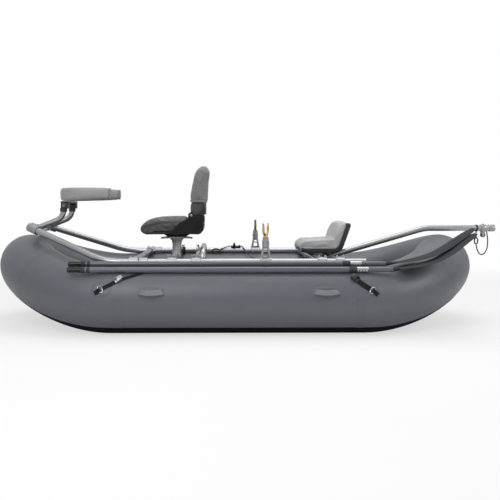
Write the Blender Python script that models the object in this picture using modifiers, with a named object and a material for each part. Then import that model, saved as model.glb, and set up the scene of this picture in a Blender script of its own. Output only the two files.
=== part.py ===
# Fishing raft: inflated hull, tubular rowing frame, swivel seat, rower's seat,
# thigh brace, oarlocks with stowed oars and a stern anchor arm.
# Metres, +Z up. The bow points to -X and the port side to -Y.
# The origin is under the middle of the raft's length, on the floor it stands on.

import math

import bpy
import bmesh
from mathutils import Matrix, Vector

# Hull
HULL_LENGTH = 3.2
HULL_MIDDLE_X = -0.1
TUBE_R = 0.205
TUBE_END_R = 0.192
TUBE_Y = 0.515
TUBE_SIDES = 24
SEAM_X = 0.715
SEAM_STRAIGHT = 0.03
PLAN_POWER = 1.7
KICK_START = 0.8
KICK_RISE = 0.18
KICK_POWER = 1.8
END_STEPS = 22
FLOOR_THICK = 0.1
FLOOR_CLEAR = 0.0006
FLOOR_TIP_CLEAR = 0.013

# Clearances
GAP = 0.0003
RUNNING_GAP = 0.0006

# Frame pipes and fittings
PIPE_R = 0.021
BRACE_PIPE_R = 0.019
PIPE_SIDES = 16
FITTING_WALL = 0.008
FITTING_LENGTH = 0.056
RAIL_STERN_X = 0.685
RAIL_BEND_X = -0.91
RAIL_BEND_R = 0.35
BOW_BAR_X = -1.43
BOW_BAR_RISE = 0.1942
BOW_BAR_Y = 0.22
BOW_SOCKET_BACK = 0.045
BOW_SOCKET_FRONT = 0.035
BOW_CROSSBAR_X = -0.735
FOOT_CROSSBAR_X = -0.354
SEAT_CROSSBAR_X = 0.418
REAR_CROSSBAR_X = 0.528

# Foot bar
FOOT_BAR_Y = 0.28
FOOT_BAR_RISE = 0.0567
FOOT_BAR_BEND_R = 0.06
FOOT_CLAMP_LENGTH = 0.05
FOOT_WELD_DEPTH = 0.005

# Thigh brace
BRACE_POST_Y = 0.127
BRACE_POST_BACK = 0.179
BRACE_BEND_RISE = 0.0715
BRACE_POST_RISE = 0.1265
BRACE_BEND_R = 0.075
BRACE_CLAMP_LENGTH = 0.046
BRACKET_HEIGHT = 0.052
BRACKET_FRONT = 0.035
BRACKET_REAR = 0.055
BRACKET_SIDE = 0.03
BRACKET_CHANNEL = 0.01
BRACE_PAD_AHEAD = 0.009
BRACE_PAD_LENGTH = 0.388
BRACE_PAD_Y = 0.25
BRACE_PAD_HEIGHT = 0.092
BRACE_PAD_THICK = 0.07
BRACE_PAD_TAPER = 0.22
BRACE_CORNER_R = 0.12

# Front seat, set out from its pedestal
PEDESTAL_X = -0.502
PEDESTAL_R = 0.0315
PEDESTAL_RISE = 0.1272
COLLAR_R = 0.049
KNOB_R = 0.03
KNOB_RISE = 0.034
SWIVEL_R = 0.08
SWIVEL_BASE_THICK = 0.006
SWIVEL_TOP_THICK = 0.021
LEVER_REACH = 0.085
LEVER_LENGTH = 0.044
LEVER_WIDTH = 0.018
LEVER_SIDE = 0.021
SEAT_HALF_WIDTH = 0.205
SEAT_NOSE_AHEAD = 0.25
SEAT_PAN_AHEAD = 0.138
SEAT_PAN_THICK = 0.012
CUSHION_THICK = 0.098
CUSHION_BEHIND = 0.084
CHEEK_THICK = 0.018
CHEEK_AHEAD = 0.068
HINGE_BEHIND = 0.106
HINGE_RISE = 0.1263
HINGE_PIN_R = 0.008
HINGE_EAR_R = 0.02
SEAT_REAR_BEHIND = 0.189
SEAT_WALL = 0.012
BACK_HEIGHT = 0.342
BACK_COVER_RISE = 0.085
BACK_FACE_AHEAD = 0.007
BACK_ARM_THICK = 0.01

# Rower's seat, set out from the crossbars that carry it
ROWER_AHEAD = 0.103
ROWER_HALF_WIDTH = 0.19
ROWER_DEPTH = 0.233
ROWER_CORNER_R = 0.07
ROWER_LEAN = 20.0
ROWER_PLATE_HALF = 0.09
ROWER_PLATE_MARGIN = 0.025
ROWER_SHELL_THICK = 0.012
ROWER_PAD_RISE = 0.0908
ROWER_BACK_RISE = 0.2218

# Oar towers and oarlocks
TOWER_X = 0.071
TOWER_HEIGHT = 0.1307
TOWER_TUBE_R = 0.021
TOWER_COLLAR = 0.042
TOWER_BASE = 0.07
TOWER_PLATE = 0.026
TOWER_LEG = 0.013
TOWER_TIE = 0.007
BUSHING_HEIGHT = 0.022
BUSHING_INSET = 0.003
STEM_R = 0.0064
STEM_DEPTH = 0.03
WASHER_R = 0.015
HORN_R = 0.0065
HORN_WIDTH = 0.058
HORN_RISE = 0.083
HORN_FLARE = 0.004
OARLOCK_TURN = {"port": 58.0, "starboard": 82.0}

# Oars, stowed on the port tube with their blades aft
OAR_R = 0.018
OAR_GRIP_R = 0.0165
OAR_SLEEVE_R = 0.0185
OAR_GRIP_LENGTH = 0.085
OAR_SPACING = 0.0762
OAR_SLEEVE_X = 0.53
OAR_JOINT_X = 0.58
OAR_SHANK = 0.2
BLADE_LENGTH = 0.55
BLADE_RISE = 0.213
BLADE_WIDTH = 0.16
BLADE_THICK = 0.007
BLADE_TILT = 12.0

# Anchor arm with its block
ARM_R = 0.02
ARM_CLAMP_LENGTH = 0.07
ARM_STRAIGHT = 0.035
ARM_BEND_X = 1.212
ARM_BEND_R = 0.3
ARM_TIP_X = 1.7
ARM_RISE = 0.1897
ARM_CAP_LENGTH = 0.045
ARM_CAP_WALL = 0.004
BLOCK_X = 1.618
BLOCK_LENGTH = 0.036
BLOCK_WALL = 0.005
SHEAVE_R = 0.018
SHEAVE_CLEAR = 0.003
SHEAVE_WIDTH = 0.012
SHEAVE_GROOVE = 0.004
AXLE_R = 0.003
CHEEK_PLATE = 0.003
BLOCK_CHEEK_R = 0.012

# Anchor line, its cleat on the starboard rail and its snap on the arm
LINE_R = 0.004
CLEAT_X = -0.08
CLEAT_LENGTH = 0.075
CLEAT_WIDTH = 0.026
CLEAT_BASE = 0.008
CLEAT_JAW_R = 0.011
CLEAT_JAW_HEIGHT = 0.02
CLEAT_LEAD_R = 0.0095
PULL_X = -0.233
PULL_LENGTH = 0.06
PULL_HEIGHT = 0.034
PULL_WIRE_R = 0.0045
SNAP_X = 1.572
SNAP_BAND = 0.012
SNAP_DROP = 0.088
SNAP_LENGTH = 0.04
SNAP_WIDTH = 0.022
SNAP_WIRE_R = 0.003

# Tie-downs and carry handles: name, along the raft, and degrees up from the tube's side
TIE_DOWNS = (("bow", -0.908, 23.0, -0.79, 47.0), ("stern", 0.682, 18.0, 0.57, 47.0))
STRAP_WIDTH = 0.034
STRAP_THICK = 0.003
PATCH_SIZE = 0.09
PATCH_THICK = 0.003
PATCH_LIFT = 0.0005
TIE_DOWN_LIFT = 0.001
RING_R = 0.024
RING_WIRE_R = 0.0035
HANDLES = (("front", -0.611), ("rear", 0.414))
HANDLE_LENGTH = 0.15
HANDLE_PATCH_HEIGHT = 0.06
HANDLE_ANGLE = 19.0
HANDLE_DROOP = 4.0
HANDLE_RISE = 0.03
HANDLE_WIDTH = 0.032
HANDLE_THICK = 0.004

# Places that follow from the sizes above
RAIL_Y = TUBE_Y
RAIL_Z = 2 * TUBE_R + GAP + PIPE_R
FITTING_R = PIPE_R + FITTING_WALL
BOW_BAR_Z = RAIL_Z + BOW_BAR_RISE
CROSSBARS = (("crossbar_bow", BOW_CROSSBAR_X), ("crossbar_pedestal", PEDESTAL_X),
             ("crossbar_foot", FOOT_CROSSBAR_X), ("crossbar_seat", SEAT_CROSSBAR_X),
             ("crossbar_rear", REAR_CROSSBAR_X))
BRACE_POST_X = BOW_BAR_X + BRACE_POST_BACK
BRACE_POST_TOP = BOW_BAR_Z + BRACE_POST_RISE
BRACE_PAD_BOTTOM = BRACE_POST_TOP + BRACKET_HEIGHT
PEDESTAL_TOP = RAIL_Z + PEDESTAL_RISE
HINGE_X = PEDESTAL_X + HINGE_BEHIND
SEAT_REAR = PEDESTAL_X + SEAT_REAR_BEHIND
ROWER_FRONT = SEAT_CROSSBAR_X - ROWER_AHEAD
TOWER_TOP = RAIL_Z + TOWER_HEIGHT
BUSHING_TOP = TOWER_TOP + BUSHING_HEIGHT
HORN_TOP = BUSHING_TOP + HORN_RISE
ARM_Z = RAIL_Z + ARM_RISE
SHEAVE_Z = ARM_Z - ARM_R - BLOCK_WALL - SHEAVE_CLEAR - SHEAVE_R

for old in list(bpy.data.objects):
    bpy.data.objects.remove(old)

PARTS = bpy.data.collections.new("fishing_raft")
CUTTERS = bpy.data.collections.new("cutters")
bpy.context.scene.collection.children.link(PARTS)
bpy.context.scene.collection.children.link(CUTTERS)


def material(name, colour, roughness, metallic=0.0):
    made = bpy.data.materials.new(name)
    made.use_nodes = True
    shader = made.node_tree.nodes["Principled BSDF"]
    shader.inputs["Base Color"].default_value = (*colour, 1.0)
    shader.inputs["Roughness"].default_value = roughness
    shader.inputs["Metallic"].default_value = metallic
    return made


HULL_GREY = material("hull_grey", (0.12, 0.125, 0.14), 0.55)
FLOOR_GREY = material("floor_grey", (0.16, 0.165, 0.175), 0.6)
ALUMINIUM = material("brushed_aluminium", (0.72, 0.73, 0.75), 0.32, 1.0)
CAST = material("cast_fitting", (0.55, 0.56, 0.58), 0.5, 0.9)
BLACK = material("black_plastic", (0.015, 0.015, 0.017), 0.4)
CHARCOAL = material("charcoal_vinyl", (0.05, 0.05, 0.055), 0.5)
MID_GREY = material("mid_grey_fabric", (0.19, 0.19, 0.2), 0.75)
LIGHT_GREY = material("light_grey_vinyl", (0.42, 0.42, 0.43), 0.55)
WEBBING = material("black_webbing", (0.02, 0.02, 0.022), 0.8)
STEEL = material("stainless_steel", (0.65, 0.65, 0.66), 0.25, 1.0)
BRONZE = material("bronze", (0.45, 0.36, 0.12), 0.35, 1.0)
OAR_GREY = material("oar_grey", (0.06, 0.065, 0.08), 0.35)
ROPE = material("black_rope", (0.018, 0.018, 0.02), 0.85)


# Small tools for making shapes

def mesh_object(name, bm):
    mesh = bpy.data.meshes.new(name)
    bm.to_mesh(mesh)
    bm.free()
    made = bpy.data.objects.new(name, mesh)
    PARTS.objects.link(made)
    return made


def box(name, low, high):
    bm = bmesh.new()
    bmesh.ops.create_cube(bm, size=1.0)
    low, high = Vector(low), Vector(high)
    bmesh.ops.scale(bm, vec=high - low, verts=bm.verts)
    bmesh.ops.translate(bm, vec=(low + high) / 2, verts=bm.verts)
    return mesh_object(name, bm)


def cylinder(name, radius, start, end, sides=PIPE_SIDES):
    start, end = Vector(start), Vector(end)
    bm = bmesh.new()
    bmesh.ops.create_cone(bm, cap_ends=True, segments=sides, radius1=radius, radius2=radius,
                          depth=(end - start).length)
    turn = (end - start).to_track_quat("Z", "Y").to_matrix().to_4x4()
    bm.transform(Matrix.Translation((start + end) / 2) @ turn)
    return mesh_object(name, bm)


def bore_radius(radius, sides=PIPE_SIDES, clearance=GAP):
    # A faceted bore clears a round bar when its flats do
    return (radius + clearance) / math.cos(math.pi / sides)


def curve_object(name, points, radius, resolution, radii=None, closed=False):
    data = bpy.data.curves.new(name, "CURVE")
    data.dimensions = "3D"
    data.twist_mode = "Z_UP"
    data.bevel_depth = radius
    data.bevel_resolution = resolution
    data.use_fill_caps = True
    spline = data.splines.new("POLY")
    spline.points.add(len(points) - 1)
    spline.use_cyclic_u = closed
    for index, place in enumerate(points):
        spline.points[index].co = (*place, 1.0)
        spline.points[index].radius = 1.0 if radii is None else radii[index] / radius
    made = bpy.data.objects.new(name, data)
    PARTS.objects.link(made)
    return made


def as_mesh(source):
    name = source.name
    ready = source.evaluated_get(bpy.context.evaluated_depsgraph_get())
    mesh = bpy.data.meshes.new_from_object(ready)
    bm = bmesh.new()
    bm.from_mesh(mesh)
    bmesh.ops.remove_doubles(bm, verts=bm.verts, dist=0.00002)
    bmesh.ops.recalc_face_normals(bm, faces=bm.faces)
    bm.to_mesh(mesh)
    bm.free()
    place = source.matrix_world.copy()
    bpy.data.objects.remove(source)
    made = bpy.data.objects.new(name, mesh)
    made.name = name
    made.matrix_world = place
    PARTS.objects.link(made)
    return made


def pipe(name, points, radius, resolution=4, radii=None, closed=False):
    return as_mesh(curve_object(name, points, radius, resolution, radii, closed))


def side_plate(name, outline, low_y, high_y):
    # A flat outline in X and Z, as thick as from low_y to high_y
    data = bpy.data.curves.new(name, "CURVE")
    data.dimensions = "2D"
    data.fill_mode = "BOTH"
    data.extrude = (high_y - low_y) / 2
    spline = data.splines.new("POLY")
    spline.points.add(len(outline) - 1)
    spline.use_cyclic_u = True
    for index, (x, z) in enumerate(outline):
        spline.points[index].co = (x, z, 0.0, 1.0)
    source = bpy.data.objects.new(name, data)
    PARTS.objects.link(source)
    bpy.context.view_layer.update()
    made = as_mesh(source)
    stand = Matrix.Rotation(math.pi / 2, 4, "X")
    made.data.transform(Matrix.Translation((0, (low_y + high_y) / 2, 0)) @ stand)
    return made


def loft(name, rings):
    bm = bmesh.new()
    rows = [[bm.verts.new(place) for place in ring] for ring in rings]
    count = len(rows[0])
    for row, after in zip(rows, rows[1:]):
        for index in range(count):
            following = (index + 1) % count
            bm.faces.new((row[index], row[following], after[following], after[index]))
    bm.faces.new(rows[0][::-1])
    bm.faces.new(rows[-1])
    bmesh.ops.recalc_face_normals(bm, faces=bm.faces)
    return mesh_object(name, bm)


def arc(centre, radius, start, end, steps):
    # Points in X and Z along an arc, in degrees
    places = []
    for step in range(steps + 1):
        angle = math.radians(start + (end - start) * step / steps)
        places.append((centre[0] + radius * math.cos(angle), centre[1] + radius * math.sin(angle)))
    return places


def bent_path(corners, bend_radius, steps=6):
    # Straight runs joined by arcs of one bend radius
    corners = [Vector(corner) for corner in corners]
    path = [corners[0]]
    for before, corner, after in zip(corners, corners[1:], corners[2:]):
        arriving = (before - corner).normalized()
        leaving = (after - corner).normalized()
        half = arriving.angle(leaving) / 2
        reach = bend_radius / math.tan(half)
        centre = corner + (arriving + leaving).normalized() * bend_radius / math.sin(half)
        first = (corner + arriving * reach - centre).normalized()
        last = (corner + leaving * reach - centre).normalized()
        for step in range(steps + 1):
            path.append(centre + first.slerp(last, step / steps) * bend_radius)
    path.append(corners[-1])
    return path


def smooth_path(points, steps=5):
    # A smooth curve through a cord's own points
    places = [Vector(point) for point in points]
    places = [2 * places[0] - places[1]] + places + [2 * places[-1] - places[-2]]
    path = []
    for a, b, c, d in zip(places, places[1:], places[2:], places[3:]):
        for step in range(steps):
            t = step / steps
            path.append(0.5 * (2 * b + (c - a) * t + (2 * a - 5 * b + 4 * c - d) * t * t
                               + (3 * b - a - 3 * c + d) * t ** 3))
    path.append(places[-2])
    return path


def as_tool(tool):
    for home in list(tool.users_collection):
        home.objects.unlink(tool)
    CUTTERS.objects.link(tool)
    tool.hide_render = True
    tool.display_type = "WIRE"


def combine(base, joined=(), cut=()):
    for operation, tools in (("UNION", joined), ("DIFFERENCE", cut)):
        for tool in tools:
            step = base.modifiers.new(operation.lower(), "BOOLEAN")
            step.operation = operation
            step.solver = "EXACT"
            step.object = tool
            as_tool(tool)
    return base


def rounded(made, width, segments=2):
    step = made.modifiers.new("rounded", "BEVEL")
    step.width = width
    step.segments = segments
    step.limit_method = "ANGLE"
    step.angle_limit = math.radians(40)
    return made


def finish(made, finish_material):
    made.data.materials.clear()
    made.data.materials.append(finish_material)
    if made.type == "MESH":
        made.data.shade_smooth()
        made.data.set_sharp_from_angle(angle=math.radians(35))
    return made


# Hull: a ring of four chambers with raised ends, and a floor between them

HALF_RING = HULL_LENGTH / 2 - TUBE_END_R
CURVE_START = SEAM_X + SEAM_STRAIGHT


def hull_centre(along):
    """Tube centre's distance to the side, its height and its radius, at a distance from mid-length."""
    share = min(max((along - CURVE_START) / (HALF_RING - CURVE_START), 0.0), 1.0)
    side = TUBE_Y * (1 - share ** PLAN_POWER) ** (1 / PLAN_POWER)
    kick = min(max((along - KICK_START) / (HALF_RING - KICK_START), 0.0), 1.0)
    height = TUBE_R + KICK_RISE * kick ** KICK_POWER
    return side, height, TUBE_R + (TUBE_END_R - TUBE_R) * kick


def end_route(direction):
    places = [(HULL_MIDDLE_X + direction * (SEAM_X + GAP / 2), -TUBE_Y, TUBE_R, TUBE_R)]
    for step in range(END_STEPS + 1):
        angle = -math.pi / 2 + math.pi * step / END_STEPS
        share = math.cos(angle) ** (2 / PLAN_POWER) if abs(angle) < math.pi / 2 - 0.001 else 0.0
        along = CURVE_START + (HALF_RING - CURVE_START) * share
        side, height, radius = hull_centre(along)
        places.append((HULL_MIDDLE_X + direction * along, math.copysign(side, angle), height, radius))
    places.append((places[0][0], TUBE_Y, TUBE_R, TUBE_R))
    return places


def hull_tubes():
    resolution = (TUBE_SIDES - 4) // 2
    for name, side in (("tube_port", -1), ("tube_starboard", 1)):
        ends = [(HULL_MIDDLE_X + end * (SEAM_X - GAP / 2), side * TUBE_Y, TUBE_R) for end in (-1, 1)]
        finish(pipe(name, ends, TUBE_R, resolution), HULL_GREY)
    for name, direction in (("tube_bow", -1), ("tube_stern", 1)):
        route = end_route(direction)
        places = [place[:3] for place in route]
        radii = [place[3] for place in route]
        finish(pipe(name, places, TUBE_R, resolution, radii), HULL_GREY)


# The floor's top meets the tubes where their facets have a corner
FLOOR_TOP = TUBE_R - TUBE_R * math.sin(2 * math.pi / TUBE_SIDES)
FLOOR_INSET = TUBE_R * math.cos(2 * math.pi / TUBE_SIDES) + FLOOR_CLEAR


def floor():
    half_width = TUBE_Y - FLOOR_INSET
    tip = HALF_RING - TUBE_END_R - FLOOR_TIP_CLEAR
    outline = []
    for direction in (1, -1):
        for step in range(END_STEPS + 1):
            angle = direction * math.pi * (step / END_STEPS - 0.5)
            along, across = max(math.cos(angle), 0.0), math.sin(angle)
            x = direction * (SEAM_X + (tip - SEAM_X) * along ** (2 / PLAN_POWER))
            y = math.copysign(half_width * abs(across) ** (2 / PLAN_POWER), across)
            outline.append((HULL_MIDDLE_X + x, y))
    rings = [[(x, y, height) for x, y in outline] for height in (FLOOR_TOP - FLOOR_THICK, FLOOR_TOP)]
    finish(loft("floor_mattress", rings), FLOOR_GREY)


# Frame: two rails on the tube crowns, crossbars clamped between them, and the bow bar

def rail_heading(side):
    bend = Vector((RAIL_BEND_X, side * RAIL_Y, RAIL_Z))
    return (Vector((BOW_BAR_X, side * BOW_BAR_Y, BOW_BAR_Z)) - bend).normalized()


def rails():
    for name, side in (("rail_port", -1), ("rail_starboard", 1)):
        bow_end = Vector((BOW_BAR_X, side * BOW_BAR_Y, BOW_BAR_Z)) - rail_heading(side) * BOW_SOCKET_BACK
        corners = ((RAIL_STERN_X, side * RAIL_Y, RAIL_Z), (RAIL_BEND_X, side * RAIL_Y, RAIL_Z), bow_end)
        finish(pipe(name, bent_path(corners, RAIL_BEND_R), PIPE_R, 6), ALUMINIUM)


def rail_clamp(name, x, side, length=FITTING_LENGTH):
    """A fitting round a rail, with its bore and the flat where it meets the tube."""
    near = Vector((x - length / 2, side * RAIL_Y, RAIL_Z))
    far = near + Vector((length, 0, 0))
    past = Vector((FITTING_WALL, 0, 0))
    body = cylinder(name + "_clamp", FITTING_R, near, far)
    bore = cylinder(name + "_bore", bore_radius(PIPE_R), near - past, far + past)
    flat = box(name + "_flat", near - past - Vector((0, 2 * PIPE_R, 3 * PIPE_R)),
               (far.x + FITTING_WALL, far.y + 2 * PIPE_R, 2 * TUBE_R + 2 * GAP))
    return body, [bore, flat]


def bar_clamp(name, x, y, z, length, radius=PIPE_R):
    """A fitting round a crossbar, with its bore."""
    body = cylinder(name + "_clamp", radius + FITTING_WALL, (x, y - length / 2, z), (x, y + length / 2, z))
    bore = cylinder(name + "_bore", bore_radius(radius), (x, y - length / 2 - FITTING_WALL, z),
                    (x, y + length / 2 + FITTING_WALL, z))
    return body, bore


def crossbars():
    for name, x in CROSSBARS:
        bar = cylinder(name, PIPE_R, (x, -RAIL_Y, RAIL_Z), (x, RAIL_Y, RAIL_Z))
        joined, cut = [], []
        for side in (-1, 1):
            body, holes = rail_clamp(f"{name}_{side + 1}", x, side)
            joined.append(body)
            cut += holes
        finish(combine(bar, joined, cut), ALUMINIUM)


def bow_bar():
    bar = cylinder("bow_bar", PIPE_R, (BOW_BAR_X, -BOW_BAR_Y, BOW_BAR_Z), (BOW_BAR_X, BOW_BAR_Y, BOW_BAR_Z))
    sockets = []
    for side in (-1, 1):
        middle = Vector((BOW_BAR_X, side * BOW_BAR_Y, BOW_BAR_Z))
        heading = rail_heading(side)
        back = middle - heading * (BOW_SOCKET_BACK - GAP)
        ahead = middle + heading * BOW_SOCKET_FRONT
        sockets.append(cylinder(f"bow_socket_{side + 1}", FITTING_R, back, ahead))
    finish(combine(bar, sockets), CAST)


def foot_bar():
    x = FOOT_CROSSBAR_X + PIPE_R + BRACE_PIPE_R - FOOT_WELD_DEPTH
    top, foot = RAIL_Z + FOOT_BAR_RISE, RAIL_Z - PIPE_R
    corners = ((x, -FOOT_BAR_Y, foot), (x, -FOOT_BAR_Y, top), (x, FOOT_BAR_Y, top), (x, FOOT_BAR_Y, foot))
    bar = pipe("foot_bar", bent_path(corners, FOOT_BAR_BEND_R, 4), BRACE_PIPE_R, 5)
    joined, cut = [], []
    for side in (-1, 1):
        body, bore = bar_clamp(f"foot_{side + 1}", FOOT_CROSSBAR_X, side * FOOT_BAR_Y, RAIL_Z,
                               FOOT_CLAMP_LENGTH)
        joined.append(body)
        cut.append(bore)
    finish(combine(bar, joined, cut), ALUMINIUM)


# Thigh brace at the bow: two bent posts, one bracket and a padded U

def thigh_brace():
    for name, side in (("brace_post_port", -1), ("brace_post_starboard", 1)):
        y = side * BRACE_POST_Y
        corners = ((BOW_BAR_X, y, BOW_BAR_Z), (BRACE_POST_X, y, BOW_BAR_Z + BRACE_BEND_RISE),
                   (BRACE_POST_X, y, BRACE_POST_TOP))
        post = pipe(name, bent_path(corners, BRACE_BEND_R, 5), BRACE_PIPE_R, 5)
        body, bore = bar_clamp(name, BOW_BAR_X, y, BOW_BAR_Z, BRACE_CLAMP_LENGTH)
        finish(combine(post, [body], [bore]), ALUMINIUM)
    side = BRACE_POST_Y + BRACKET_SIDE
    bracket = box("brace_bracket", (BRACE_POST_X - BRACKET_FRONT, -side, BRACE_POST_TOP + GAP),
                  (BRACE_POST_X + BRACKET_REAR, side, BRACE_PAD_BOTTOM - GAP))
    # A small channel runs through it from side to side
    channel_z = BRACE_POST_TOP + BRACKET_HEIGHT / 5
    channel = box("bracket_channel", (BRACE_POST_X - BRACKET_CHANNEL, -2 * side, channel_z),
                  (BRACE_POST_X + BRACKET_CHANNEL, 2 * side, channel_z + BRACKET_CHANNEL))
    finish(combine(rounded(bracket, 0.006), (), [channel]), BLACK)
    brace_pad()


def brace_pad():
    half = BRACE_PAD_THICK / 2
    front, side = BRACE_POST_X - BRACE_PAD_AHEAD + half, BRACE_PAD_Y - half
    rear = BRACE_POST_X - BRACE_PAD_AHEAD + BRACE_PAD_LENGTH
    middle = BRACE_PAD_BOTTOM + BRACE_PAD_HEIGHT / 2
    route = bent_path(((rear, -side, middle), (front, -side, middle), (front, side, middle),
                       (rear, side, middle)), BRACE_CORNER_R)
    rings = []
    for index, place in enumerate(route):
        heading = (route[min(index + 1, len(route) - 1)] - route[max(index - 1, 0)]).normalized()
        across = Vector((-heading.y, heading.x, 0))
        # The pad thins from below towards its two ends
        back = (place.x - front) / (rear - front)
        height = BRACE_PAD_HEIGHT * (1 - BRACE_PAD_TAPER * back)
        lift = Vector((0, 0, (BRACE_PAD_HEIGHT - height) / 2 - BRACE_PAD_HEIGHT / 15 * back))
        rings.append([place + lift + across * half * u + Vector((0, 0, height / 2 * v))
                      for u, v in SOFT_SECTION])
    finish(loft("brace_pad", rings), MID_GREY)


# A rounded rectangle, as shares of its half width and half height
SOFT_SECTION = [(su * a, sv * b) for su, sv, turn in ((1, 1, 1), (-1, 1, -1), (-1, -1, 1), (1, -1, -1))
                for a, b in ((1.0, 0.6), (0.9, 0.88), (0.55, 1.0))[::turn]]


# Front seat: pedestal, swivel, moulded frame with hinge ears, cushion and folding back

def pedestal():
    flare, lip, foot = PEDESTAL_R + FITTING_WALL / 2, FITTING_WALL, RAIL_Z - PEDESTAL_R
    profile = ((0.0, PEDESTAL_TOP), (COLLAR_R, PEDESTAL_TOP), (COLLAR_R, PEDESTAL_TOP - lip),
               (flare, PEDESTAL_TOP - 3 * lip), (PEDESTAL_R, PEDESTAL_TOP - 4 * lip),
               (PEDESTAL_R, foot), (0.0, foot))
    post = turned("pedestal", profile, (PEDESTAL_X, 0, 0), 24)
    saddle, bore = bar_clamp("pedestal", PEDESTAL_X, 0, RAIL_Z, 3 * PEDESTAL_R)
    finish(combine(post, [saddle], [bore]), ALUMINIUM)
    knob_z = RAIL_Z + KNOB_RISE
    wall = PEDESTAL_X + PEDESTAL_R + GAP
    stem = cylinder("pedestal_knob", 0.3 * KNOB_R, (wall, 0, knob_z), (wall + 0.4 * KNOB_R, 0, knob_z), 12)
    lobes = [(math.cos(turn) * size * KNOB_R, math.sin(turn) * size * KNOB_R)
             for turn, size in ((math.pi * step / 12, 1.0 if step % 4 < 2 else 0.86) for step in range(24))]
    head = side_plate("knob_head", lobes, -0.9 * KNOB_R, -0.2 * KNOB_R)
    head.data.transform(Matrix.Translation((wall, 0, knob_z)) @ Matrix.Rotation(math.pi / 2, 4, "Z"))
    finish(combine(stem, [head]), BLACK)


def turned(name, profile, centre, sides):
    """A profile of radius and height, top to bottom, turned about a vertical axis."""
    bm = bmesh.new()
    places = [bm.verts.new((radius, 0, height)) for radius, height in profile]
    for first, second in zip(places, places[1:]):
        bm.edges.new((first, second))
    made = mesh_object(name, bm)
    made.location = centre
    step = made.modifiers.new("turn", "SCREW")
    step.steps = sides
    step.render_steps = sides
    step.use_merge_vertices = True
    step.merge_threshold = 0.00005
    return made


SWIVEL_BASE_Z = PEDESTAL_TOP + GAP
SWIVEL_TOP_Z = SWIVEL_BASE_Z + SWIVEL_BASE_THICK + RUNNING_GAP
SEAT_PAN_Z = SWIVEL_TOP_Z + SWIVEL_TOP_THICK + GAP
HINGE_Z = SEAT_PAN_Z + HINGE_RISE
CUSHION_BOTTOM = SEAT_PAN_Z + SEAT_PAN_THICK + GAP
CUSHION_TOP = CUSHION_BOTTOM + CUSHION_THICK
CUSHION_HALF_WIDTH = SEAT_HALF_WIDTH - CHEEK_THICK - GAP
BACK_COVER_BOTTOM = HINGE_Z + BACK_COVER_RISE
BACK_TOP = HINGE_Z + BACK_HEIGHT


def swivel():
    base = cylinder("swivel_base", SWIVEL_R, (PEDESTAL_X, 0, SWIVEL_BASE_Z),
                    (PEDESTAL_X, 0, SWIVEL_BASE_Z + SWIVEL_BASE_THICK), 24)
    levers = []
    for side in (-1, 1):
        middle = Vector((PEDESTAL_X + side * LEVER_REACH, -LEVER_SIDE, SWIVEL_BASE_Z))
        levers.append(box(f"lever_{side}", middle - Vector((LEVER_LENGTH / 2, LEVER_WIDTH / 2, 0.005)),
                          middle + Vector((LEVER_LENGTH / 2, LEVER_WIDTH / 2, 0.002))))
    finish(combine(base, levers), STEEL)
    rim, half = SWIVEL_R + 0.005, SWIVEL_TOP_THICK / 2
    profile = ((0.0, 2 * half), (rim, 2 * half), (rim, half), (rim - 2 * half, 0.0), (0.0, 0.0))
    finish(turned("swivel_top", profile, (PEDESTAL_X, 0, SWIVEL_TOP_Z), 24), BLACK)


def cheek_outline():
    # The moulded cheek sweeps up from the pan to the hinge ear, then falls to the seat's rear corner
    rise = HINGE_Z - SEAT_PAN_Z
    front = PEDESTAL_X - CHEEK_AHEAD
    shares = ((0.0, 0.03), (0.19, 0.11), (0.36, 0.25), (0.52, 0.45), (0.64, 0.6), (0.8, 0.72), (0.94, 0.8))
    reach = HINGE_X - HINGE_EAR_R - front
    sweep = [(front + reach * along, SEAT_PAN_Z + rise * up) for along, up in shares]
    ear = arc((HINGE_X, HINGE_Z), HINGE_EAR_R, 75, 170, 6)
    fall = [(SEAT_REAR - 0.03, SEAT_PAN_Z), (SEAT_REAR - 0.012, SEAT_PAN_Z + 0.012),
            (SEAT_REAR, SEAT_PAN_Z + 0.035), (SEAT_REAR, HINGE_Z - 0.044),
            (SEAT_REAR - 0.012, HINGE_Z - 0.02),
            (SEAT_REAR - 0.034, HINGE_Z - 0.004), (HINGE_X + 0.03, HINGE_Z + 0.006)]
    return [(front, SEAT_PAN_Z)] + fall + ear + sweep[::-1]


def seat_frame():
    pan = box("seat_frame", (PEDESTAL_X - SEAT_PAN_AHEAD, -SEAT_HALF_WIDTH + 0.001, SEAT_PAN_Z),
              (SEAT_REAR - 0.02, SEAT_HALF_WIDTH - 0.001, SEAT_PAN_Z + SEAT_PAN_THICK))
    joined = []
    for side in (-1, 1):
        low, high = sorted((side * SEAT_HALF_WIDTH, side * (SEAT_HALF_WIDTH - CHEEK_THICK)))
        joined.append(side_plate(f"cheek_{side + 1}", cheek_outline(), low, high))
        inner = side * (SEAT_HALF_WIDTH - CHEEK_THICK)
        pin_ends = [(HINGE_X, inner + side * away, HINGE_Z)
                    for away in (CHEEK_THICK / 4, -BACK_ARM_THICK - 2 * GAP)]
        joined.append(cylinder(f"hinge_pin_{side + 1}", HINGE_PIN_R, *pin_ends, 12))
    wall = [(SEAT_REAR - 0.034, SEAT_PAN_Z + 0.001), (SEAT_REAR - 0.014, SEAT_PAN_Z + 0.013),
            (SEAT_REAR - 0.001, SEAT_PAN_Z + 0.036), (SEAT_REAR - 0.001, HINGE_Z - 0.045),
            (SEAT_REAR - SEAT_WALL, HINGE_Z - 0.045), (SEAT_REAR - SEAT_WALL, SEAT_PAN_Z + 0.04),
            (SEAT_REAR - 0.03, SEAT_PAN_Z + SEAT_PAN_THICK + 0.004)]
    joined.append(side_plate("seat_rear_wall", wall, -SEAT_HALF_WIDTH + 0.003, SEAT_HALF_WIDTH - 0.003))
    finish(combine(pan, joined), BLACK)


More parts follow.
